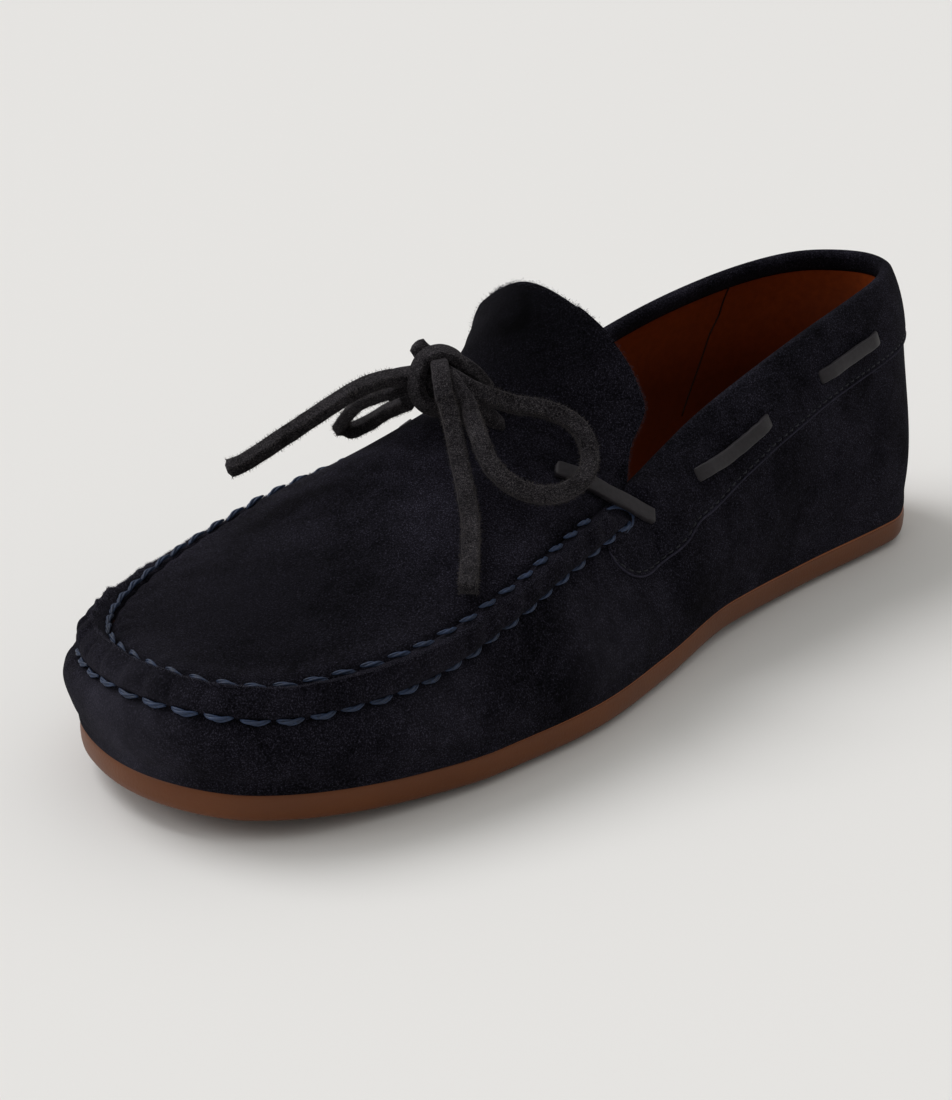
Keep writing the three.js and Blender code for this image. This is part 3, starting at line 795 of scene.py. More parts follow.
@dataclass(frozen=True)
class Rubber:
    """Moulded gum rubber: translucent brown, satin, with faint flow mottling and fine pores."""

    name: str
    dark: str
    light: str
    roughness: float
    flow_mm: float = 16.67
    pore_mm: float = 0.7143

    def material(self) -> bpy.types.Material:
        """Builds the material."""
        made, tree, shader = new_material(
            self.name, Roughness=self.roughness, IOR=1.52, Specular_IOR_Level=0.3, Subsurface_Weight=0.12,
            Subsurface_Scale=0.003, Subsurface_Radius=(1.0, 0.45, 0.2))
        place = add_node(tree, "TexCoord", give="Object")
        cloud, pores = (
            add_node(tree, "TexNoise", {"Scale": 1 / (size * MM), "Detail": 3.0}, {"Vector": place})
            for size in (self.flow_mm, self.pore_mm))
        colour = add_node(tree, "Mix", {"data_type": "RGBA", 6: linear(self.dark), 7: linear(self.light)},
                          {0: cloud}, 2)
        tree.links.new(colour, shader.inputs["Base Color"])
        bump = add_node(tree, "Bump", {"Strength": 0.6, "Distance": 0.00012}, {"Height": pores})
        tree.links.new(bump, shader.inputs["Normal"])
        return made


@dataclass(frozen=True)
class Plain:
    """A plain matt finish."""

    name: str
    colour: str
    roughness: float

    def material(self) -> bpy.types.Material:
        """Builds the material."""
        return new_material(self.name, Base_Color=linear(self.colour), Roughness=self.roughness,
                            Specular_IOR_Level=0.2)[0]


# Calf suede, brushed: near-black navy whose short nap shows as paler specks, with painted highlights on the
# toe's front and the outer side and painted shade on the plug's front and the tongue's top.
# The specks are drawn coarser than the real fibre ends, so that they show.
NAVY_SUEDE = Leather("navy calf suede, brushed", "#030305", "#18171e", Grain.BRUSHED, 0.5, 9.0, 0.35, 1.0,
                     sheen=0.02, sheen_tint="#cdc9dc", specular=0.03, contrast=0.36, speck="#403e4b",
                     painted_light_patches=(PaintedLightPatch((286.0, 1.0, 23.0), 30.0, 0.2, "#5b5967"),
                              PaintedLightPatch((176.0, 49.0, 22.0), 24.0, 0.1, "#5b5967"),
                              PaintedLightPatch((232.0, 44.0, 26.0), 26.0, 0.05, "#5b5967"),
                              PaintedLightPatch((152.0, -4.0, 86.0), 40.0, 0.9, "#030304"),
                              PaintedLightPatch((250.0, 4.0, 44.0), 58.0, 0.6, "#050507")))
# The same hide where it is cut, at the band's lower edge: flatter and a little greyer.
NAVY_SPLIT = Leather("navy split leather, cut", "#1c1b23", "#34323f", Grain.BRUSHED, 0.9, 12.0, 0.15, 1.0,
                     sheen=0.05, sheen_tint="#c9c6dc", specular=0.06)
# Vegetable-tanned lining: smooth, saturated orange tan with a soft shine, with painted shade that darkens it
# deep in the shoe.
TAN_LINING = Leather("tan lining leather, smooth", "#6c2b0a", "#8c3c10", Grain.SMOOTH, 2.2, 26.0, 0.04, 0.5,
                     specular=0.3, contrast=0.8, shade=0.4)
TAN_SOCK = Leather("tan sock leather, smooth", "#6c2b0a", "#8c3c10", Grain.SMOOTH, 2.2, 22.0, 0.04, 0.55,
                   specular=0.3, contrast=0.8)
# Thong cut from waxed hide: dark grey-brown, rough cut sides that show pale fibres.
THONG_CUT = Leather("grey-brown thong leather, cut", "#060507", "#201e22", Grain.CUT, 0.35, 3.5, 0.3, 0.95,
                    sheen=0.08, sheen_tint="#d4cdd4", specular=0.08, contrast=0.4, speck="#686466",
                    speck_mm=0.2)
# The grain side of the same hide, where the thong lies flat along the collar: smoother and greyer.
THONG_GRAIN = Leather("grey thong leather, grain side", "#151216", "#231f24", Grain.SMOOTH, 1.2, 8.0, 0.05,
                      0.6, specular=0.35)
# Loose ends of the thong's and the suede's fibres: they catch more light than the hide and soften outlines.
FIBRE = Leather("suede fibre ends", "#252325", "#575250", Grain.BRUSHED, 1.0, 5.0, 0.02, 1.0, specular=0.05)
NAP = Leather("navy nap fibre ends", "#0f0f14", "#272630", Grain.BRUSHED, 1.0, 9.0, 0.02, 1.0, sheen=0.3,
              sheen_tint="#c9c6dc", specular=0.05)
# Waxed sewing threads, a soft shine on their plies: blue-grey on the ridge, navy on the band, brown inside.
THREAD = Leather("waxed linen thread, blue-grey", "#121a29", "#293b5b", Grain.CUT, 0.5, 12.0, 0.06, 0.5,
                 specular=0.35, contrast=0.6)
BAND_THREAD = Leather("waxed linen thread, navy", "#101117", "#1f2129", Grain.CUT, 0.5, 4.0, 0.05, 0.6,
                      specular=0.3)
LINING_THREAD = Leather("linen thread, brown", "#1c0d05", "#2c1206", Grain.CUT, 0.5, 4.0, 0.05, 0.6,
                        specular=0.3)
# Gum rubber, moulded: brown, with a warm glow where thin, partly from its subsurface light and partly a
# painted glow in the thin lip's lighter colour; its pores are drawn coarse enough to show.
GUM_RUBBER = Rubber("gum rubber, moulded", "#552b0c", "#69370e", 0.5)
GUM_LIP = Rubber("gum rubber lip, moulded thin", "#7a3d0f", "#8c4a13", 0.45)
FLOOR_FINISH = Plain("pale studio floor, matt", "#e4e3e1", 0.95)


# ---- the upper ----
@dataclass
class Upper:
    """Wrap and quarters in one ring, the plug with its tongue, the collar band and the back seam."""

    ribs: int = 860
    wall_rows: int = 32
    top_rows: int = 18
    ridge_proud: float = 2.8
    pinch: float = 0.36
    gather_depth: float = 0.42
    tuck_depth: float = 1.1
    toe_fullness: float = 2.3
    foot_roll: float = 0.95
    foot_drop: float = 0.55
    seam_sink: float = 1.3
    seam_puff: float = 0.35
    band_front: float = 168.4
    band_ribs: int = 560
    stitch_inset: float = 1.4
    suede: bpy.types.Material = field(init=False)
    reverse: bpy.types.Material = field(init=False)

    def __post_init__(self) -> None:
        """Makes the finishes."""
        self.suede = NAVY_SUEDE.material()
        self.reverse = NAVY_SPLIT.material()

    def ridge_lift(self, angle: Array, t: Array) -> Array:
        """Height of the sewn ridge over the line between its two stitch rows, gathered at each stitch."""
        share = Form.share(angle)
        phase = stitch_phase(angle)
        near = np.abs(phase - np.round(phase))
        gather = np.exp(-((near / 0.17) ** 2))
        depth = self.pinch * (0.3 + 0.7 * np.clip(1 - t / 0.75, 0, 1) ** 1.3)
        rise = np.sqrt(1 - (1 - np.clip(t / 0.5, 0, 1)) ** 2)
        fall = np.sqrt(1 - np.clip((t - 0.72) / 0.28, 0, 1) ** 2.4)
        fold = 0.13 * hump(t, 0.83, 0.07) * (1 + 0.6 * np.sin(phase * 7.1) * np.sin(phase * 3.3 + 0.5))
        uneven = 1 + 0.07 * np.sin(phase * 2.4) + 0.05 * np.sin(phase * 5.3 + 1.1)
        proud = self.ridge_proud + 1.8 * hump(angle, 3.5, 0.33) - 0.8 * hump(angle, 4.1, 0.35)
        start = RIDGE_START + 0.07 * np.clip(t, 0, 1) ** 1.2
        grows = np.sqrt(np.clip((share - start) / 0.035, 0, 1))
        return proud * grows * (rise * fall * (1 - depth * gather) + fold) * uneven

    def outside(self, angle: Array, v: Array) -> Array:
        """Points of the suede's outer face, ridge, gathers and creases included.

        Args:
            angle: ribs.
            v: rows as in Form.shell, one for each grid row.

        Returns:
            A grid of points.
        """
        grid = Form.shell(angle[None, :], v[:, None])
        normals = grid_normals(grid, True)
        _, _, swell = Form.ridge(angle)
        v = v[:, None]
        lift = self.ridge_lift(angle[None, :], np.clip(v - 1, 0, 1)) * (v > 1)
        grid = grid + swell[None] * lift[..., None]
        phase = stitch_phase(angle)[None, :]
        front = ramp(Form.share(angle), 0.0, 0.06)[None, :]
        below = np.clip(1 - v, 0, 1)
        gather = self.gather_depth * np.cos(2 * np.pi * phase) * np.exp(-below / 0.13)
        tuck = -self.tuck_depth * np.exp(-below / 0.045)
        relief = (front * (tuck - gather) + crease_relief(grid) * ramp(v, 0.0, 0.2)) * (v <= 1)
        full = self.toe_fullness * hump(angle, 3.52, 0.4) * hump(v, 0.76, 0.25) * (1 - ramp(v, 0.88, 1.0))
        grid = grid + normals * (relief + self.foot_roll * hump(v, 0.03, 0.06) + full)[..., None]
        grid[..., 2] -= self.foot_drop * (1 - ramp(v, 0.0, 0.12))
        return grid

    def build_wrap(self) -> None:
        """The ring of suede from the sole's feather edge to the plug's seam and the collar's top."""
        angle = full_turn(self.ribs)
        low = np.linspace(0, 1, self.wall_rows) ** 1.15
        high = (1 - np.cos(np.pi * np.linspace(0, 1, self.top_rows + 1)[1:])) / 2
        v = np.concatenate([low, 1 + high])
        outer = self.outside(angle, v)
        coarse = np.concatenate([np.linspace(0, 1, 9), [1.5, 2.0]])
        plain = Form.shell(angle[None, :], coarse[:, None])
        inner = plain - grid_normals(plain, True) * SUEDE
        inner[0, :, 2] = outer[0, :, 2]
        wrap = Bin("wrap_and_quarters").add_torus(np.concatenate([outer, inner[::-1]]))
        wrap.build(self.suede, "navy_suede", ["upper"])

    def plug_grid(self) -> Array:
        """Points of the plug, from the toe to the throat, and of the tongue on to its top."""
        s = np.sin(np.linspace(np.pi / 2, -np.pi / 2, 97))[None, :]
        share = (1 - np.linspace(0.03, 1, 120) ** 1.7)[:, None]
        plug = Form.plug_point(Form.seam_x(share), s)
        t = np.linspace(0, 1, 66)[1:, None]
        crest_x, crest_z = TONGUE.read("crest_x", t), TONGUE.read("crest_z", t)
        tongue = np.stack(np.broadcast_arrays(
            crest_x + (TONGUE.read("edge_x", t) - crest_x) * s * s,
            TONGUE.read("mid", t) + TONGUE.read("edge_half", t) * s,
            crest_z + (TONGUE.read("edge_z", t) - crest_z) * s * s,
        ), -1)
        return np.concatenate([plug, tongue])

    def build_plug(self) -> None:
        """The plug and the tongue, one piece: it sinks into the seam and bulges between the stitches."""
        grid = self.plug_grid()
        _, seam = Form.rows(SEAM_ANGLES[::4])
        flat = grid.reshape(-1, 3)
        away, count = np.full(len(flat), np.inf), np.zeros(len(flat))
        for point, number in zip(seam, stitch_phase(SEAM_ANGLES[::4])):
            distance = np.linalg.norm(flat - point, axis=1)
            closer = distance < away
            away = np.where(closer, distance, away)
            count = np.where(closer, number, count)
        away, count = away.reshape(grid.shape[:2]), count.reshape(grid.shape[:2])
        rows = np.arange(len(grid))[:, None]
        relief = self.seam_puff * hump(away, 4.5, 2.6) - self.seam_sink * hump(away, 0, 1.5)
        relief -= 0.3 * np.cos(2 * np.pi * count) * np.exp(-((away / 4.5) ** 1.5))
        relief = relief * (1 - ramp(rows, 112, 126)) + crease_relief(grid)
        edge = np.minimum(np.arange(grid.shape[1]), np.arange(grid.shape[1])[::-1])[None, :]
        normals = grid_normals(grid, False)
        t = ramp(rows, 120, 185)
        wave = 0.7 * np.sin(rows / 9.0 + 0.4) * t * np.exp(-edge / 9.0)
        front = grid + normals * (relief + wave)[..., None]
        thick = np.minimum(SUEDE + 0.5 * t, WALL)
        margin = np.minimum(edge / 2.0, (len(grid) - 1 - rows) / 2.0)
        rounding = np.sqrt(1 - (1 - np.clip(margin, 0, 1)) ** 2)
        thick = thick * (0.35 + 0.65 * rounding)
        sink = (1 - (0.35 + 0.65 * rounding)) * 0.5 * t
        back = front - normals * thick[..., None]
        front = front - normals * sink[..., None]
        Bin("plug_and_tongue").add_sheet(front, back).build(self.suede, "navy_suede", ["tongue"])
        self.tongue_front, self.tongue_normals = front, normals

    def band_low(self, x: Array) -> Array:
        """The collar band's lower edge as a row of Form.shell: it dips into a round tab at each eyelet."""
        level = 1.04 - 0.12 * ramp(x, 106, 130) - 0.29 * ramp(x, 128, 150)
        front = np.clip((x - 153) / 15.5, 0, 1)
        return level + (0.98 - level) * (1 - np.sqrt(np.maximum(1 - front ** 2.2, 0)))

    def build_band(self) -> None:
        """The collar band: a strip folded over the collar's top, with a round tab over each throat corner."""
        limit = math.acos(1 - 2 * self.band_front / SOLE_LENGTH)
        angle = np.linspace(-limit, limit, self.band_ribs)
        x = Form.rib_x(angle)
        low = self.band_low(x)
        high = 2.0 - 1.0 * ramp(Form.share(angle), 0.0, 0.06)
        rows = np.linspace(0, 1, 38)[:, None] ** 1.5
        v = low[None, :] + (high - low)[None, :] * rows
        surface = Form.shell(angle[None, :], v)
        normals = grid_normals(surface, False)
        folded = 1 - ramp(Form.share(angle), -0.004, 0.012)
        run = np.cumsum(np.linalg.norm(np.diff(surface, axis=0, prepend=surface[:1]), axis=-1), axis=0)
        rise = np.sqrt(1 - (1 - np.clip(run / 0.7, 0, 1)) ** 2)
        stitch_line = -0.3 * hump(run, self.stitch_inset, 0.5)
        tip = 0.25 + 0.75 * ramp(self.band_front - x, 0, 2.5)
        thick = BAND_THICK * (0.1 + 0.9 * rise) * tip + stitch_line
        outer = surface + normals * thick[..., None]
        inner = surface + normals * 0.04
        up, out = unit(surface[-1] - surface[-3]), normals[-1]
        half, full = (WALL / 2 * folded)[:, None], ((WALL / 2 + BAND_THICK) * folded)[:, None]
        centre = surface[-1] - out * half
        roll, core = [], []
        for phi in np.linspace(0, np.pi, 14)[1:]:
            way = out * math.cos(phi) + up * math.sin(phi)
            roll.append(centre + way * (full + 0.02))
            core.append(centre + way * half)
        for down, share in ((1.2, 1.0), (2.8, 1.0), (4.2, 0.45)):
            fall = up * (down * folded)[:, None]
            roll.append(centre - out * (half + (full - half) * share) - fall)
            core.append(centre - out * half - fall)
        band = Bin("collar_band").add_sheet(np.concatenate([outer, roll]), np.concatenate([inner, core]))
        band.build(self.suede, "navy_suede")
        self.band_angle = angle
        self.band_line = np.array([read_along(np.array([self.stitch_inset]), run[:, k], outer[:, k])[0]
                                   for k in range(len(angle))])
        cut = outer[2] + normals[2] * 0.02
        Bin("band_cut_edge").add_rings(tube_rings(cut, 0.26, 7)).build(self.reverse, "navy_suede")

    def build_back_seam(self) -> None:
        """The closed seam up the back of the heel, drawn tight by hand stitches over a cord of suede."""
        v = np.linspace(0.32, 1.93, 110)[:, None]
        place = np.linspace(-1, 1, 15)
        grid = Form.shell(-place * 0.034, v)
        grid[..., 1] = -place * 3.4
        back = np.array([-1.0, 0.0, 0.0])
        beat = v * 62 / 5.2
        near = np.abs(beat - np.round(beat))
        bulge = 1.5 * np.cos(place * np.pi / 2) ** 0.8 * (0.55 + 0.45 * np.sqrt(np.abs(np.sin(np.pi * near))))
        ends = ramp(v, 0.32, 0.4) * (1 - ramp(v, 1.86, 1.93))
        front = grid + back * (0.05 + bulge * ends)[..., None]
        seam = Bin("back_seam").add_sheet(front[:, ::-1], (grid - back * 0.6)[:, ::-1])
        seam.build(self.suede, "navy_suede")

    def build(self) -> None:
        """Builds every piece of the upper."""
        self.build_wrap()
        self.build_plug()
        self.build_band()
        self.build_back_seam()


# ---- sewing ----
@dataclass
class Sewing:
    """Threads of the ridge, its tied ends and the band's fine line."""

    upper: Upper
    outer_radius: float = 0.64
    inner_radius: float = 0.62
    end_radius: float = 0.55
    ply_place: float = 0.52
    ply_size: float = 0.55
    ply_turn: float = 3.6
    fine_radius: float = 0.22
    fine_pitch: float = 2.9
    fine_length: float = 2.2

    def thread(self, store: Bin, points: Sequence[Array], radius: float, spacing: float = 0.55) -> None:
        """One visible stretch of thread, thin at both ends where it enters the leather."""
        line = smooth_route(points, spacing)
        t = np.linspace(0, 1, len(line))
        body = radius * (0.3 + 0.7 * np.sin(np.pi * np.clip(t, 0, 1)) ** 0.6)
        side, face = frames_along(line, THREAD_UP)
        for ply in range(3):
            turn = (THIRD_TURN * ply + self.ply_turn * t + 0.4)[:, None]
            away = (np.cos(turn) * side + np.sin(turn) * face) * (self.ply_place * body)[:, None]
            store.add_rings(tube_rings(line + away, body * self.ply_size, 7))

    def ridge_rows(self, store: Bin) -> None:
        """The ridge's two rows: full stitches under it and slimmer, slanted ones in the plug's seam."""
        rng = np.random.default_rng(11)
        for number in range(1, STITCHES - 1):
            first, last = phase_angle(number + 0.09), phase_angle(number + 0.91)
            angle = np.linspace(first, last, 7)
            row, top = Form.rows(angle)
            out = Form.outward(angle)
            arc = np.sin(np.pi * np.linspace(0, 1, 7))[:, None]
            jitter = rng.normal(0, 0.1, 3)
            outer = row + out * (0.05 + 0.75 * arc) + np.array([0, 0, -1.0]) * (0.25 * arc - 0.1)
            self.thread(store, outer + jitter, self.outer_radius * rng.uniform(0.92, 1.1))
            if not 3 <= number <= STITCHES - 4:
                continue
            across = unit(top - row)
            inward = unit(np.cross(np.gradient(top, axis=0), across))
            inward = inward * np.sign(inward[:, 2:3])
            slant = np.linspace(0.1, 1.1, 7)[:, None]
            inner = top + across * slant + inward * (0.15 + 0.6 * arc)
            self.thread(store, inner + jitter * 0.6, self.inner_radius * rng.uniform(0.9, 1.1))

    def ridge_ends(self, store: Bin) -> None:
        """The thread that runs round each end of the ridge at the throat corner."""
        for side in (1.0, -1.0):
            loop = [Form.on_shell(x, v, side, 0.5) for x, v in (
                (161.0, 0.96), (157.5, 0.98), (155.6, 1.15), (156.3, 1.45), (159.5, 1.75), (163.5, 1.93))]
            self.thread(store, loop, self.end_radius)

    def band_row(self, store: Bin) -> None:
        """The fine stitches along the collar band's lower edge."""
        line = self.upper.band_line
        run = run_along(line)
        out = Form.outward(self.upper.band_angle)
        sunk = np.array([-0.1, 0.12, 0.12, -0.1])[:, None]
        for start in np.arange(1.0, run[-1] - 3, self.fine_pitch):
            at = np.linspace(start, start + self.fine_length, 4)
            points = read_along(at, run, line) + read_along(at, run, out) * sunk
            self.thread(store, points, self.fine_radius, 0.7)

    def build(self) -> None:
        """Builds the threads."""
        ridge, band = Bin("ridge_stitches"), Bin("band_stitches")
        self.ridge_rows(ridge)
        self.ridge_ends(ridge)
        ridge.build(THREAD.material())
        self.band_row(band)
        band.build(BAND_THREAD.material())


# ---- lining and sock ----
@dataclass
class Inside:
    """Lining leather and the leather sock."""

    ribs: int = 360
    seam_radius: float = 0.3
    sock_margin: float = 0.7
    sock_dish: float = 0.5

    def build_lining(self) -> None:
        """The tan lining, from the sock up to just under the collar's fold, and its two side seams."""
        v = np.concatenate([np.linspace(0.02, 1, 16), np.linspace(1, 1.97, 10)[1:]])
        grid = Form.shell(full_turn(self.ribs)[None, :], v[:, None])
        normals = grid_normals(grid, True)
        outer, inner = grid - normals * (SUEDE + 0.06), grid - normals * (WALL + 0.1)
        lining = Bin("lining").add_torus(np.concatenate([outer, inner[::-1]]))
        lining.build(TAN_LINING.material(), "sock_leather")
        seams = Bin("lining_seams")
        for side in (1.0, -1.0):
            line = []
            for row in np.linspace(1.86, 0.47, 24):
                x = 37.6 + 9 * np.clip((1.3 - row) / 0.85, 0, 1) ** 1.2
                line.append(Form.on_shell(x, row, side, -(WALL + 0.12)))
            seams.add_rings(tube_rings(smooth_route(line, 1.2), self.seam_radius, 8))
        seams.build(LINING_THREAD.material())

    def build_sock(self) -> None:
        """The sock on the sole's inside, gently dished for the foot."""
        angle = full_turn(self.ribs)
        x = Form.rib_x(angle)
        base = Form.foot_inset(x) + WALL + self.sock_margin
        rings = [Form.inset_edge(angle, base + inset, Form.sole_top(x) + GAP + up * SOCK_THICK)
                 for inset, up in ((0.0, 0.0), (0.0, 0.75), (0.25, 0.93), (0.8, 1.0))]
        rim = rings[-1]
        for share in np.linspace(0.93, 0.02, 14):
            ring = Form.narrowed(rim, x, share)
            ring[:, 2] -= self.sock_dish * (1 - share ** 2)
            rings.append(ring)
        Bin("sock").add_rings(np.array(rings)).build(TAN_SOCK.material(), "sock_leather", ["insole"])

    def build(self) -> None:
        """Builds the inside."""
        self.build_lining()
        self.build_sock()


# ---- sole ----
@dataclass
class UnitSole:
    """The moulded rubber unit: side wall with a thin lip, pebble studs and the heel tab.

    A field of studs is given by where it starts and ends along the shoe and its studs' radius.
    """

    ribs: int = 420
    heel_studs: tuple[float, ...] = (10, 84, 4.2)
    ball_studs: tuple[float, ...] = (150, 272, 4.4)
    pitch: float = 14.0
    margin: float = 9.5
    tab_top: float = 38.0
    tab_half: float = 19.0
    tab_thick: float = 2.2

    def build_body(self) -> None:
        """The unit's body: flat underside, rounded lower edge, upright side and a lip under the suede."""
        angle = full_turn(self.ribs)
        x = Form.rib_x(angle)
        profile = [(2.6, -0.05), (1.2, -0.04), (0.7, 0.02), (0.25, 0.12), (0.02, 0.3), (-0.1, 0.6),
                   (-0.02, 0.8), (0.1, 0.9), (0.45, 0.975), (1.1, 1.0)]
        rings = [Form.inset_edge(angle, inset, Form.sole_bottom(x) + up * SIDE_HEIGHT)
                 for inset, up in profile]
        under = [Form.narrowed(rings[0], x, share) for share in np.linspace(0.03, 0.97, 16)]
        cover = [Form.narrowed(rings[-1], x, share) for share in np.linspace(0.97, 0.03, 5)]
        sole = Bin("unit_sole").add_rings(np.array(under + rings + cover))
        self.add_studs(sole)
        sole.build(GUM_RUBBER.material(), "gum_rubber", ["outsole"])
        profile = [(1.5, -0.25), (0.35, -0.45), (0.12, -0.2), (0.3, 0.1), (0.9, 0.22), (1.5, 0.2)]
        lip = [Form.inset_edge(angle, inset, Form.sole_top(x) + up) for inset, up in profile]
        Bin("sole_lip").add_torus(np.array(lip)).build(GUM_LIP.material(), "gum_rubber")

    def add_studs(self, store: Bin) -> None:
        """Domed studs in staggered rows under heel and ball, flat where they touch the ground.

        Args:
            store: where they go.
        """
        profile = [(1.12, 1.0), (1.1, 0.75), (1.04, 0.5), (0.97, 0.3), (0.88, 0.14), (0.74, 0.04), (0.6, 0.0),
                   (0.3, 0.0), (0.02, 0.0)]
        phi = full_turn(20)
        for start, end, radius in (self.heel_studs, self.ball_studs):
            for row in range(int((end - start) // self.pitch) + 1):
                x = np.array(start + row * self.pitch)
                mid, reach = float(SOLE.read("mid", x)), float(SOLE.half("half", x)) - self.margin
                for k in range(-4, 5):
                    y = mid + (k + (0.5 if row % 2 else 0.0)) * self.pitch
                    if abs(y - mid) > reach:
                        continue
                    rings = [np.stack([x + radius * size * np.cos(phi), y + radius * size * np.sin(phi),
                                       np.full_like(phi, float(Form.lift(x)) + up * (STUD_HEIGHT + 0.6))], -1)
                             for size, up in profile]
                    store.add_rings(np.array(rings))

    def build_tab(self) -> None:
        """The tab moulded up the back of the heel, thinning to a rounded edge."""
        rows, columns = 26, 40
        t = np.linspace(0, 1, rows + 1)[:, None]
        place = np.linspace(-1, 1, columns + 1)[None, :]
        half = self.tab_half * np.sqrt(1 - 0.72 * t * t)
        angle = -place * (half / (SOLE_LENGTH / 4)) * 1.42
        foot_z = Form.wall(angle, np.zeros_like(angle))[..., 2]
        wanted = foot_z + t * (self.tab_top - 5 * place * place - foot_z)
        low, high = np.zeros_like(angle), np.ones_like(angle)
        for _ in range(24):
            middle = (low + high) / 2
            under = Form.wall(angle, middle)[..., 2] < wanted
            low, high = np.where(under, middle, low), np.where(under, high, middle)
        grid = Form.wall(angle, low)
        grid[0, :, 2] = Form.sole_top(np.array(0.0)) - 3
        grid = grid[:, ::-1]
        normals = grid_normals(grid, False)
        edge = np.minimum(np.minimum(np.arange(columns + 1), np.arange(columns + 1)[::-1])[None, :],
                          (rows - np.arange(rows + 1))[:, None])
        margin = np.clip(edge / 4.0, 0, 1)
        thick = self.tab_thick * (0.3 + 0.7 * np.sqrt(1 - (1 - margin) ** 2))
        groove = -0.35 * hump(edge, 6.0, 1.2)
        outer, inner = grid + normals * (GAP + thick + groove)[..., None], grid + normals * 0.1
        Bin("heel_tab").add_sheet(outer, inner).build(GUM_RUBBER.material(), "gum_rubber")

    def build(self) -> None:
        """Builds the unit."""
        self.build_body()
        self.build_tab()


# ---- the thong ----
LACE_WIDTH = 4.3
LACE_THICK = 3.1

LOOP_LATERAL = [(176.4, 7.4, 74.4), (171, 12.4, 71.6), (166.4, 18.4, 70.6), (163.6, 25, 68),
                (164.4, 30.4, 63.6), (168.2, 33.4, 58.8), (174.6, 34.2, 56.6), (181.6, 33, 56.4),
                (187.8, 29.4, 58.6), (190, 23, 63), (186.4, 15, 68.6), (182.5, 8, 73.5)]
LOOP_MEDIAL = [(185, -13.4, 73), (185.4, -17, 71.6), (185.6, -24, 68.2), (184.8, -30, 63.4),
               (182.8, -35, 58.4), (180, -34.4, 56.8), (178.4, -29.2, 59.8), (178.6, -21.6, 64.8),
               (179.6, -13, 69)]
END_FRONT = [(187, 4.6, 76.4), (187.6, 7, 72.6), (189.5, 10.4, 68), (192.4, 15, 62.6), (196, 20.4, 57.2),
             (201, 26.4, 52.2), (208, 32.6, 47.8), (215.4, 39, 44)]
END_MEDIAL = [(187.4, -10.2, 77.4), (191, -12.2, 77), (196.5, -15.6, 75), (206, -23, 67.6),
              (212.6, -28, 62.4), (218, -32, 58.4), (221.5, -34.4, 57)]
CROSSING = [(167.7, 22.9, 57.2), (165.8, 24.8, 56.3), (163.6, 26.9, 55.1), (158.0, 31.4, 50.5),
            (153.2, 33.6, 47.3), (148.6, 35.6, 43.9), (146.0, 36.4, 42.2)]
KNOT_CENTRE = np.array([179.6, -3.6, 76.4])


@dataclass(frozen=True)
class Strand:
    """A strand of the knot, in millimetres from its centre: right, up and forward as seen from the toe.

    looks is the way its flat side faces, or None for outward; rough is how uneven its sides are.
    """

    route: tuple[Point, ...]
    looks: Point | None
    width: float = 4.35
    thick: float = 3.1
    rough: float = 0.05


KNOT_STRANDS = (
    Strand(((5.2, -2.0, -3.0), (5.4, 2.4, -1.0), (3.8, 5.2, 0.8), (0.0, 6.5, 2.2), (-3.6, 5.0, 3.0),
            (-5.5, 1.4, 3.2), (-5.7, -2.6, 3.0), (-4.0, -5.8, 2.6), (-0.8, -7.2, 2.0), (2.6, -6.4, 0.5),
            (5.0, -3.6, -2.0)), None, 4.3, 2.6),
    Strand(((-0.3, 3.6, 2.6), (-0.2, 2.6, 5.2), (0.1, -0.6, 8.4), (0.4, -3.7, 10.3), (1.0, -5.9, 10.9)),
           (-0.05, 0.48, 0.88)),
    Strand(((0.6, 1.6, 2.6), (4.0, -0.6, 4.6), (7.0, -2.5, 5.1), (9.9, -3.8, 4.7), (12.2, -4.5, 4.3)),
           (0.0, 0.19, 0.98)),
    Strand(((1.4, 1.2, 4.4), (3.2, -1.8, 6.8), (4.9, -4.5, 8.3), (6.0, -6.2, 8.8), (6.6, -8.4, 10.6)),
           (0.0, 0.19, 0.98)),
    Strand(((-1.0, 1.6, 0.0), (-4.5, 1.4, 0.6), (-8.0, 1.1, 0.8), (-10.2, 0.7, 1.0), (-12.6, 0.0, 1.6)),
           (-0.25, 0.7, 0.65)),
    Strand(((-2.0, 0.0, -1.6), (-6.0, -0.8, -3.0), (-8.8, -1.6, -3.8), (-10.7, -2.1, -4.2),
            (-13.0, -2.9, -5.4)), (-0.5, 0.6, 0.4)),
    Strand(((-1.5, -1.2, -2.5), (-4.2, -2.4, -5.2), (-6.8, -3.5, -8.1), (-8.2, -3.5, -9.9)),
           (-0.5, 0.6, 0.4)),
    Strand(((2.6, 4.6, -0.6), (5.4, 3.6, 0.2), (8.2, 1.4, 0.2), (10.3, -0.9, -0.4), (11.8, -3.0, -1.6)),
           (0.3, 0.5, 0.8), 3.8, 2.6, 0.06),
    Strand(((3.0, -2.4, 0.0), (6.4, -4.6, 1.2), (10.2, -7.6, 0.8), (13.6, -10.6, -0.6), (16.0, -13.0, -3.0)),
           (0.3, 0.6, 0.7), 4.0, 2.6),
    Strand(((-1.6, 3.8, -1.6), (-3.4, 6.0, -1.4), (-5.0, 8.0, -1.0), (-5.8, 9.0, -0.8)),
           (0.5, 0.5, 0.7), 4.6, 2.8, 0.25),
)


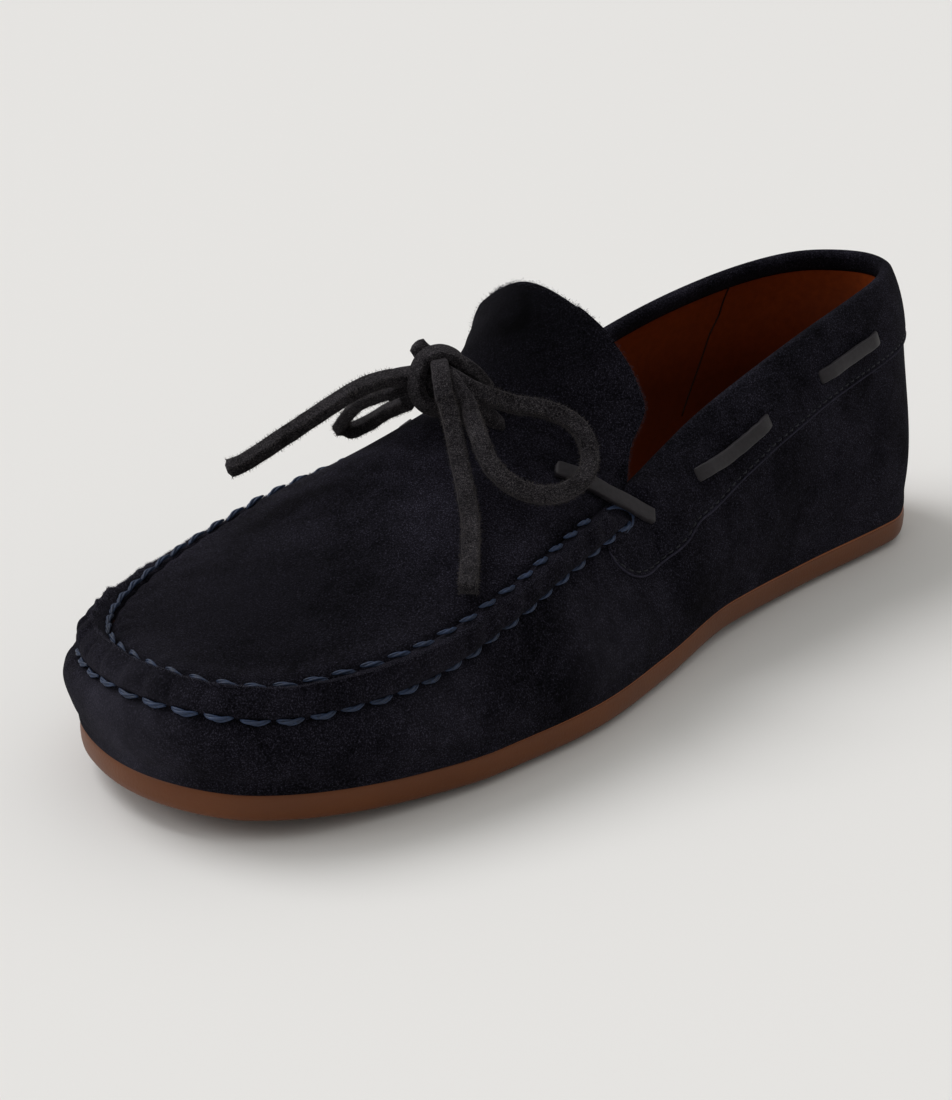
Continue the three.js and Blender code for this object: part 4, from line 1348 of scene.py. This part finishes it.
@dataclass
class Bow:
    """The knot, its two loops and its two ends, cut from one thong."""

    fibres_per_mm: int = 46
    fibre_radius: float = 0.045
    hide: bpy.types.Material = field(init=False)
    lines: list[tuple[Array, Array]] = field(default_factory=list)

    def __post_init__(self) -> None:
        """Makes the finish."""
        self.hide = THONG_CUT.material()

    def strand(self, name: str, route: list[Point], face: Array, length_mm: float, end: str) -> None:
        """One cord of the bow.

        Args:
            name: its name, which is its CAD node's with _strap added.
            route: its middle line.
            face: direction its flat side looks.
            length_mm: not used.
            end: not used.
        """
        line = smooth_route(route, 0.8)
        rng = np.random.default_rng(len(name) * 7 + len(route))
        rings = strap_rings(line, face, LACE_WIDTH, LACE_THICK, rng, sides=24, open_start=True)
        piece = Bin(name + "_strap").add_rings(rings).build(self.hide, "thong_leather", [name])
        log.info("%s is %.1f mm long", name, run_along(line)[-1])
        self.lines.append((line, rings))

    def knot(self) -> None:
        """The knot: its wraps and strands round a tight core, and the short fuzzy butt behind it."""
        axes = np.array([[-0.718, 0.696, 0.0], [-0.23, -0.238, 0.944], [0.6565, 0.6777, 0.3311]])
        centre = KNOT_CENTRE + np.array([0.2, -0.4, 0.0]) @ axes
        store = Bin("knot_wraps")
        for number, strand in enumerate(KNOT_STRANDS):
            line = smooth_route(KNOT_CENTRE + np.array(strand.route) @ axes, 0.6)
            if strand.looks is None:
                looks = unit(line - centre) * 0.95 + axes[2] * 0.4
            else:
                looks = np.array(strand.looks) @ axes
            rng = np.random.default_rng(50 + number)
            store.add_rings(strap_rings(line, looks, strand.width, strand.thick, rng, strand.rough, 22))
        phi = full_turn(24)[None, :]
        theta = np.linspace(0.05, np.pi - 0.05, 16)[:, None]
        core = np.stack(np.broadcast_arrays(
            0.4 + 4.6 * np.sin(theta) * np.cos(phi), -0.4 + 5.6 * np.cos(theta),
            -1.2 + 3.4 * np.sin(theta) * np.sin(phi)), -1)
        store.add_rings(KNOT_CENTRE + core @ axes)
        store.build(self.hide, "thong_leather", ["lace_knot"])

    def fuzz(self) -> None:
        """Loose fibres along the thong's cut sides and ends, drawn thicker than real so that they show."""
        rng = np.random.default_rng(23)
        store = Bin("thong_fibres")
        for line, rings in self.lines:
            count = int(run_along(line)[-1] * self.fibres_per_mm)
            r = rng.integers(1, len(rings) - 1, count)
            c = rng.integers(0, rings.shape[1], count)
            roots = rings[r, c] + rng.normal(0, 0.12, (count, 3))
            leans = unit(unit(rings[r, c] - line[r]) + rng.normal(0, 0.75, (count, 3)))
            add_fibres(store, roots, leans, rng.uniform(0.35, 1.05, count), self.fibre_radius)
        store.build(FIBRE.material(), "thong_leather")

    def build(self) -> None:
        """Builds the bow, its cords first."""
        outward = np.array([0.6, 0.62, 0.5])
        self.strand("lace_loop_lateral", LOOP_LATERAL, outward, 87.0, "object")
        self.strand("lace_loop_medial", LOOP_MEDIAL, np.array([0.5, -0.2, 0.84]), 56.0, "object")
        self.strand("lace_end_front", END_FRONT, np.array([0.5, 0.45, 0.74]), 57.0, "bare")
        self.strand("lace_end_medial", END_MEDIAL, np.array([0.45, 0.1, 0.88]), 47.0, "bare")
        self.knot()
        self.fuzz()


@dataclass
class CollarThong:
    """Stretches of the thong along the collar and across the throat, their ends bent into the leather."""

    bar_place: float = 0.42
    width: float = 3.7
    thick: float = 1.7
    end_depth: float = 1.2
    crossing_width: float = 4.0
    crossing_thick: float = 1.8

    def bar(self, name: str, start: float, end: float, side: float, skin: bpy.types.Material) -> None:
        """One stretch along the collar band, its ends bent into the band."""
        x = np.linspace(start, end, 13)
        angle = side * np.arccos(1 - 2 * x / SOLE_LENGTH)
        place = np.full_like(x, self.bar_place)
        step = 0.012
        here = Form.band(angle, place)
        along = Form.band(angle + step, place) - Form.band(angle - step, place)
        up = Form.band(angle, place + 0.02) - Form.band(angle, place - 0.02)
        normal = unit(np.cross(up, along))
        lift = np.full_like(x, BAND_THICK + GAP + self.thick / 2)
        lift[0] = lift[-1] = -self.end_depth
        lift[1] = lift[-2] = 1.1
        route = here + normal * lift[:, None]
        route[0] += (route[1] - route[0]) * 0.55
        route[-1] += (route[-2] - route[-1]) * 0.55
        line = smooth_route(route, 0.7)
        wished = read_along(np.linspace(0, 1, len(line)), np.linspace(0, 1, len(x)), normal)
        rng = np.random.default_rng(int(start * 3 + (side > 0)))
        rings = strap_rings(line, wished, self.width, self.thick, rng, boxy=0.36)
        Bin(name + "_strap").add_rings(rings).build(skin, "thong_leather", [name])

    def crossing(self, name: str, route: list[Point], side: float, skin: bpy.types.Material) -> None:
        """One stretch across the throat corner, from its slit in the plug to its slit in the band."""
        line = smooth_route(route, 0.5)
        t = np.linspace(0, 1, len(line))[:, None]
        face = unit(np.array([0.35, side * 0.45, 0.82]) * (1 - t) + np.array([0.12, side * 0.72, 0.68]) * t)
        rng = np.random.default_rng(40 + int(side))
        rings = strap_rings(line, face, self.crossing_width, self.crossing_thick, rng, rough=0.03, boxy=0.3)
        Bin(name + "_strap").add_rings(rings).build(skin, "thong_leather", [name])

    def build(self) -> None:
        """Builds the stretches."""
        skin = THONG_GRAIN.material()
        for name, start, end in (("front", 92, 131), ("rear", 36, 70)):
            self.bar(f"lace_bar_lateral_{name}", start, end, 1.0, skin)
            self.bar(f"lace_bar_medial_{name}", start, end, -1.0, skin)
        self.crossing("lace_crossing_lateral", CROSSING, 1.0, skin)
        self.crossing("lace_crossing_medial", [(x, -4 - y, z - 0.4) for x, y, z in CROSSING[1:]], -1.0, skin)


# ---- nap ----
@dataclass
class Nap:
    """Short fibres that stand off the suede where its outline shows."""

    upper: Upper
    tongue_fibres: int = 3600
    tongue_radius: float = 0.04
    ridge_fibres: int = 9000
    ridge_radius: float = 0.045

    def tongue_edge(self, store: Bin, rng: np.random.Generator) -> None:
        """Fibres along the tongue's sides and top."""
        front, normals = self.upper.tongue_front, self.upper.tongue_normals
        rows, columns = front.shape[:2]
        many = self.tongue_fibres
        r = rng.integers(rows - 62, rows, many)
        c = np.where(rng.random(many) < 0.5, rng.integers(0, 3, many), columns - 1 - rng.integers(0, 3, many))
        top = rng.random(many) < 0.35
        r = np.where(top, rows - 1 - rng.integers(0, 3, many), r)
        c = np.where(top, rng.integers(0, columns, many), c)
        centre = np.array([150.0, -4.0, 74.0])
        leans = unit(unit(front[r, c] - centre) * 0.8 + normals[r, c] * 0.4 + rng.normal(0, 0.5, (many, 3)))
        roots = front[r, c] + rng.normal(0, 0.35, (many, 3))
        add_fibres(store, roots, leans, rng.uniform(0.2, 0.5, many), self.tongue_radius)

    def ridge_crest(self, store: Bin, rng: np.random.Generator) -> None:
        """Fibres along the crest of the sewn ridge."""
        many = self.ridge_fibres
        angle = rng.uniform(SEAM_ANGLES[20], SEAM_ANGLES[-20], many)
        row, across, swell = Form.ridge(angle)
        t = rng.normal(0.86, 0.035, many)
        roots = row + across * t[:, None] + swell * self.upper.ridge_lift(angle, t)[:, None] * 0.97
        leans = unit(swell + unit(across) * 0.5 + rng.normal(0, 0.45, (many, 3)))
        add_fibres(store, roots, leans, rng.uniform(0.25, 0.7, many), self.ridge_radius)

    def build(self) -> None:
        """Builds the fibres."""
        rng = np.random.default_rng(31)
        store = Bin("nap_fibres")
        self.tongue_edge(store, rng)
        self.ridge_crest(store, rng)
        store.build(NAP.material(), "navy_suede")


# ---- studio ----
@dataclass
class Studio:
    """Camera, pale floor and soft lights."""

    eye: Point = (0.5140, 0.3538, 0.2327)
    aim: Point = (0.1215, -0.0105, 0.0250)
    lens: float = 73.3

    @staticmethod
    def stand(name: str, data: bpy.types.ID, place: Sequence[float], aim: Sequence[float]) -> bpy.types.Object:
        """Stands a camera or lamp at a place, looking at a point."""
        piece = put_in_scene(name, data)
        piece.location = place
        piece.rotation_mode = "QUATERNION"
        piece.rotation_quaternion = (Vector(aim) - Vector(place)).to_track_quat("-Z", "Y")
        return piece

    def build_camera(self) -> None:
        """The camera, at the same angle to the shoe as it is always shown, framed on the one shoe."""
        camera = bpy.data.cameras.new("camera")
        camera.lens = self.lens
        camera.sensor_width = 36.0
        bpy.context.scene.camera = self.stand("camera", camera, self.eye, self.aim)

    def light(self, name: str, place: Point, spread: float, power: float, colour: str) -> None:
        """One far, broad light, aimed at the shoe; spread is how many degrees of sky it fills."""
        lamp = bpy.data.lights.new(name, "SUN")
        lamp.angle = math.radians(spread)
        lamp.energy = power
        lamp.color = linear(colour)[:3]
        self.stand(name, lamp, place, (0.11, 0.0, 0.03))

    def build(self) -> None:
        """Builds floor, sky and lights."""
        mesh = bpy.data.meshes.new("studio_floor")
        mesh.from_pydata([(-30, -30, 0), (30, -30, 0), (30, 30, 0), (-30, 30, 0)], [], [(0, 1, 2, 3)])
        mesh.materials.append(FLOOR_FINISH.material())
        floor = put_in_scene("studio_floor", mesh)
        world = bpy.data.worlds.new("soft sky")
        world.use_nodes = True
        tree = world.node_tree
        way = add_node(tree, "TexCoord", give="Generated")
        height = add_node(tree, "SeparateXYZ", {}, {0: way}, "Z")
        bright = add_node(tree, "MapRange", {"To Min": 0.3, "To Max": 0.75}, {"Value": height})
        tree.links.new(bright, tree.nodes["Background"].inputs["Strength"])
        tree.nodes["Background"].inputs["Color"].default_value = linear("#faf9f6")
        bpy.context.scene.world = world
        self.light("overhead cloth", (0.35, -0.9, 1.3), 32.0, 1.36, "#fdfdff")
        self.light("toe cloth", (1.25, -0.95, 0.95), 30.0, 0.62, "#fdfdff")
        bpy.context.scene.view_settings.view_transform = "Standard"


def main() -> None:
    """Builds the scene."""
    logging.basicConfig(level=logging.INFO, format="%(name)s: %(message)s")
    studio = Studio()
    studio.build_camera()
    Bow().build()
    CollarThong().build()
    upper = Upper()
    for maker in (upper, Sewing(upper), Inside(), UnitSole(), Nap(upper), studio):
        maker.build()


if __name__ == "__main__":
    main()
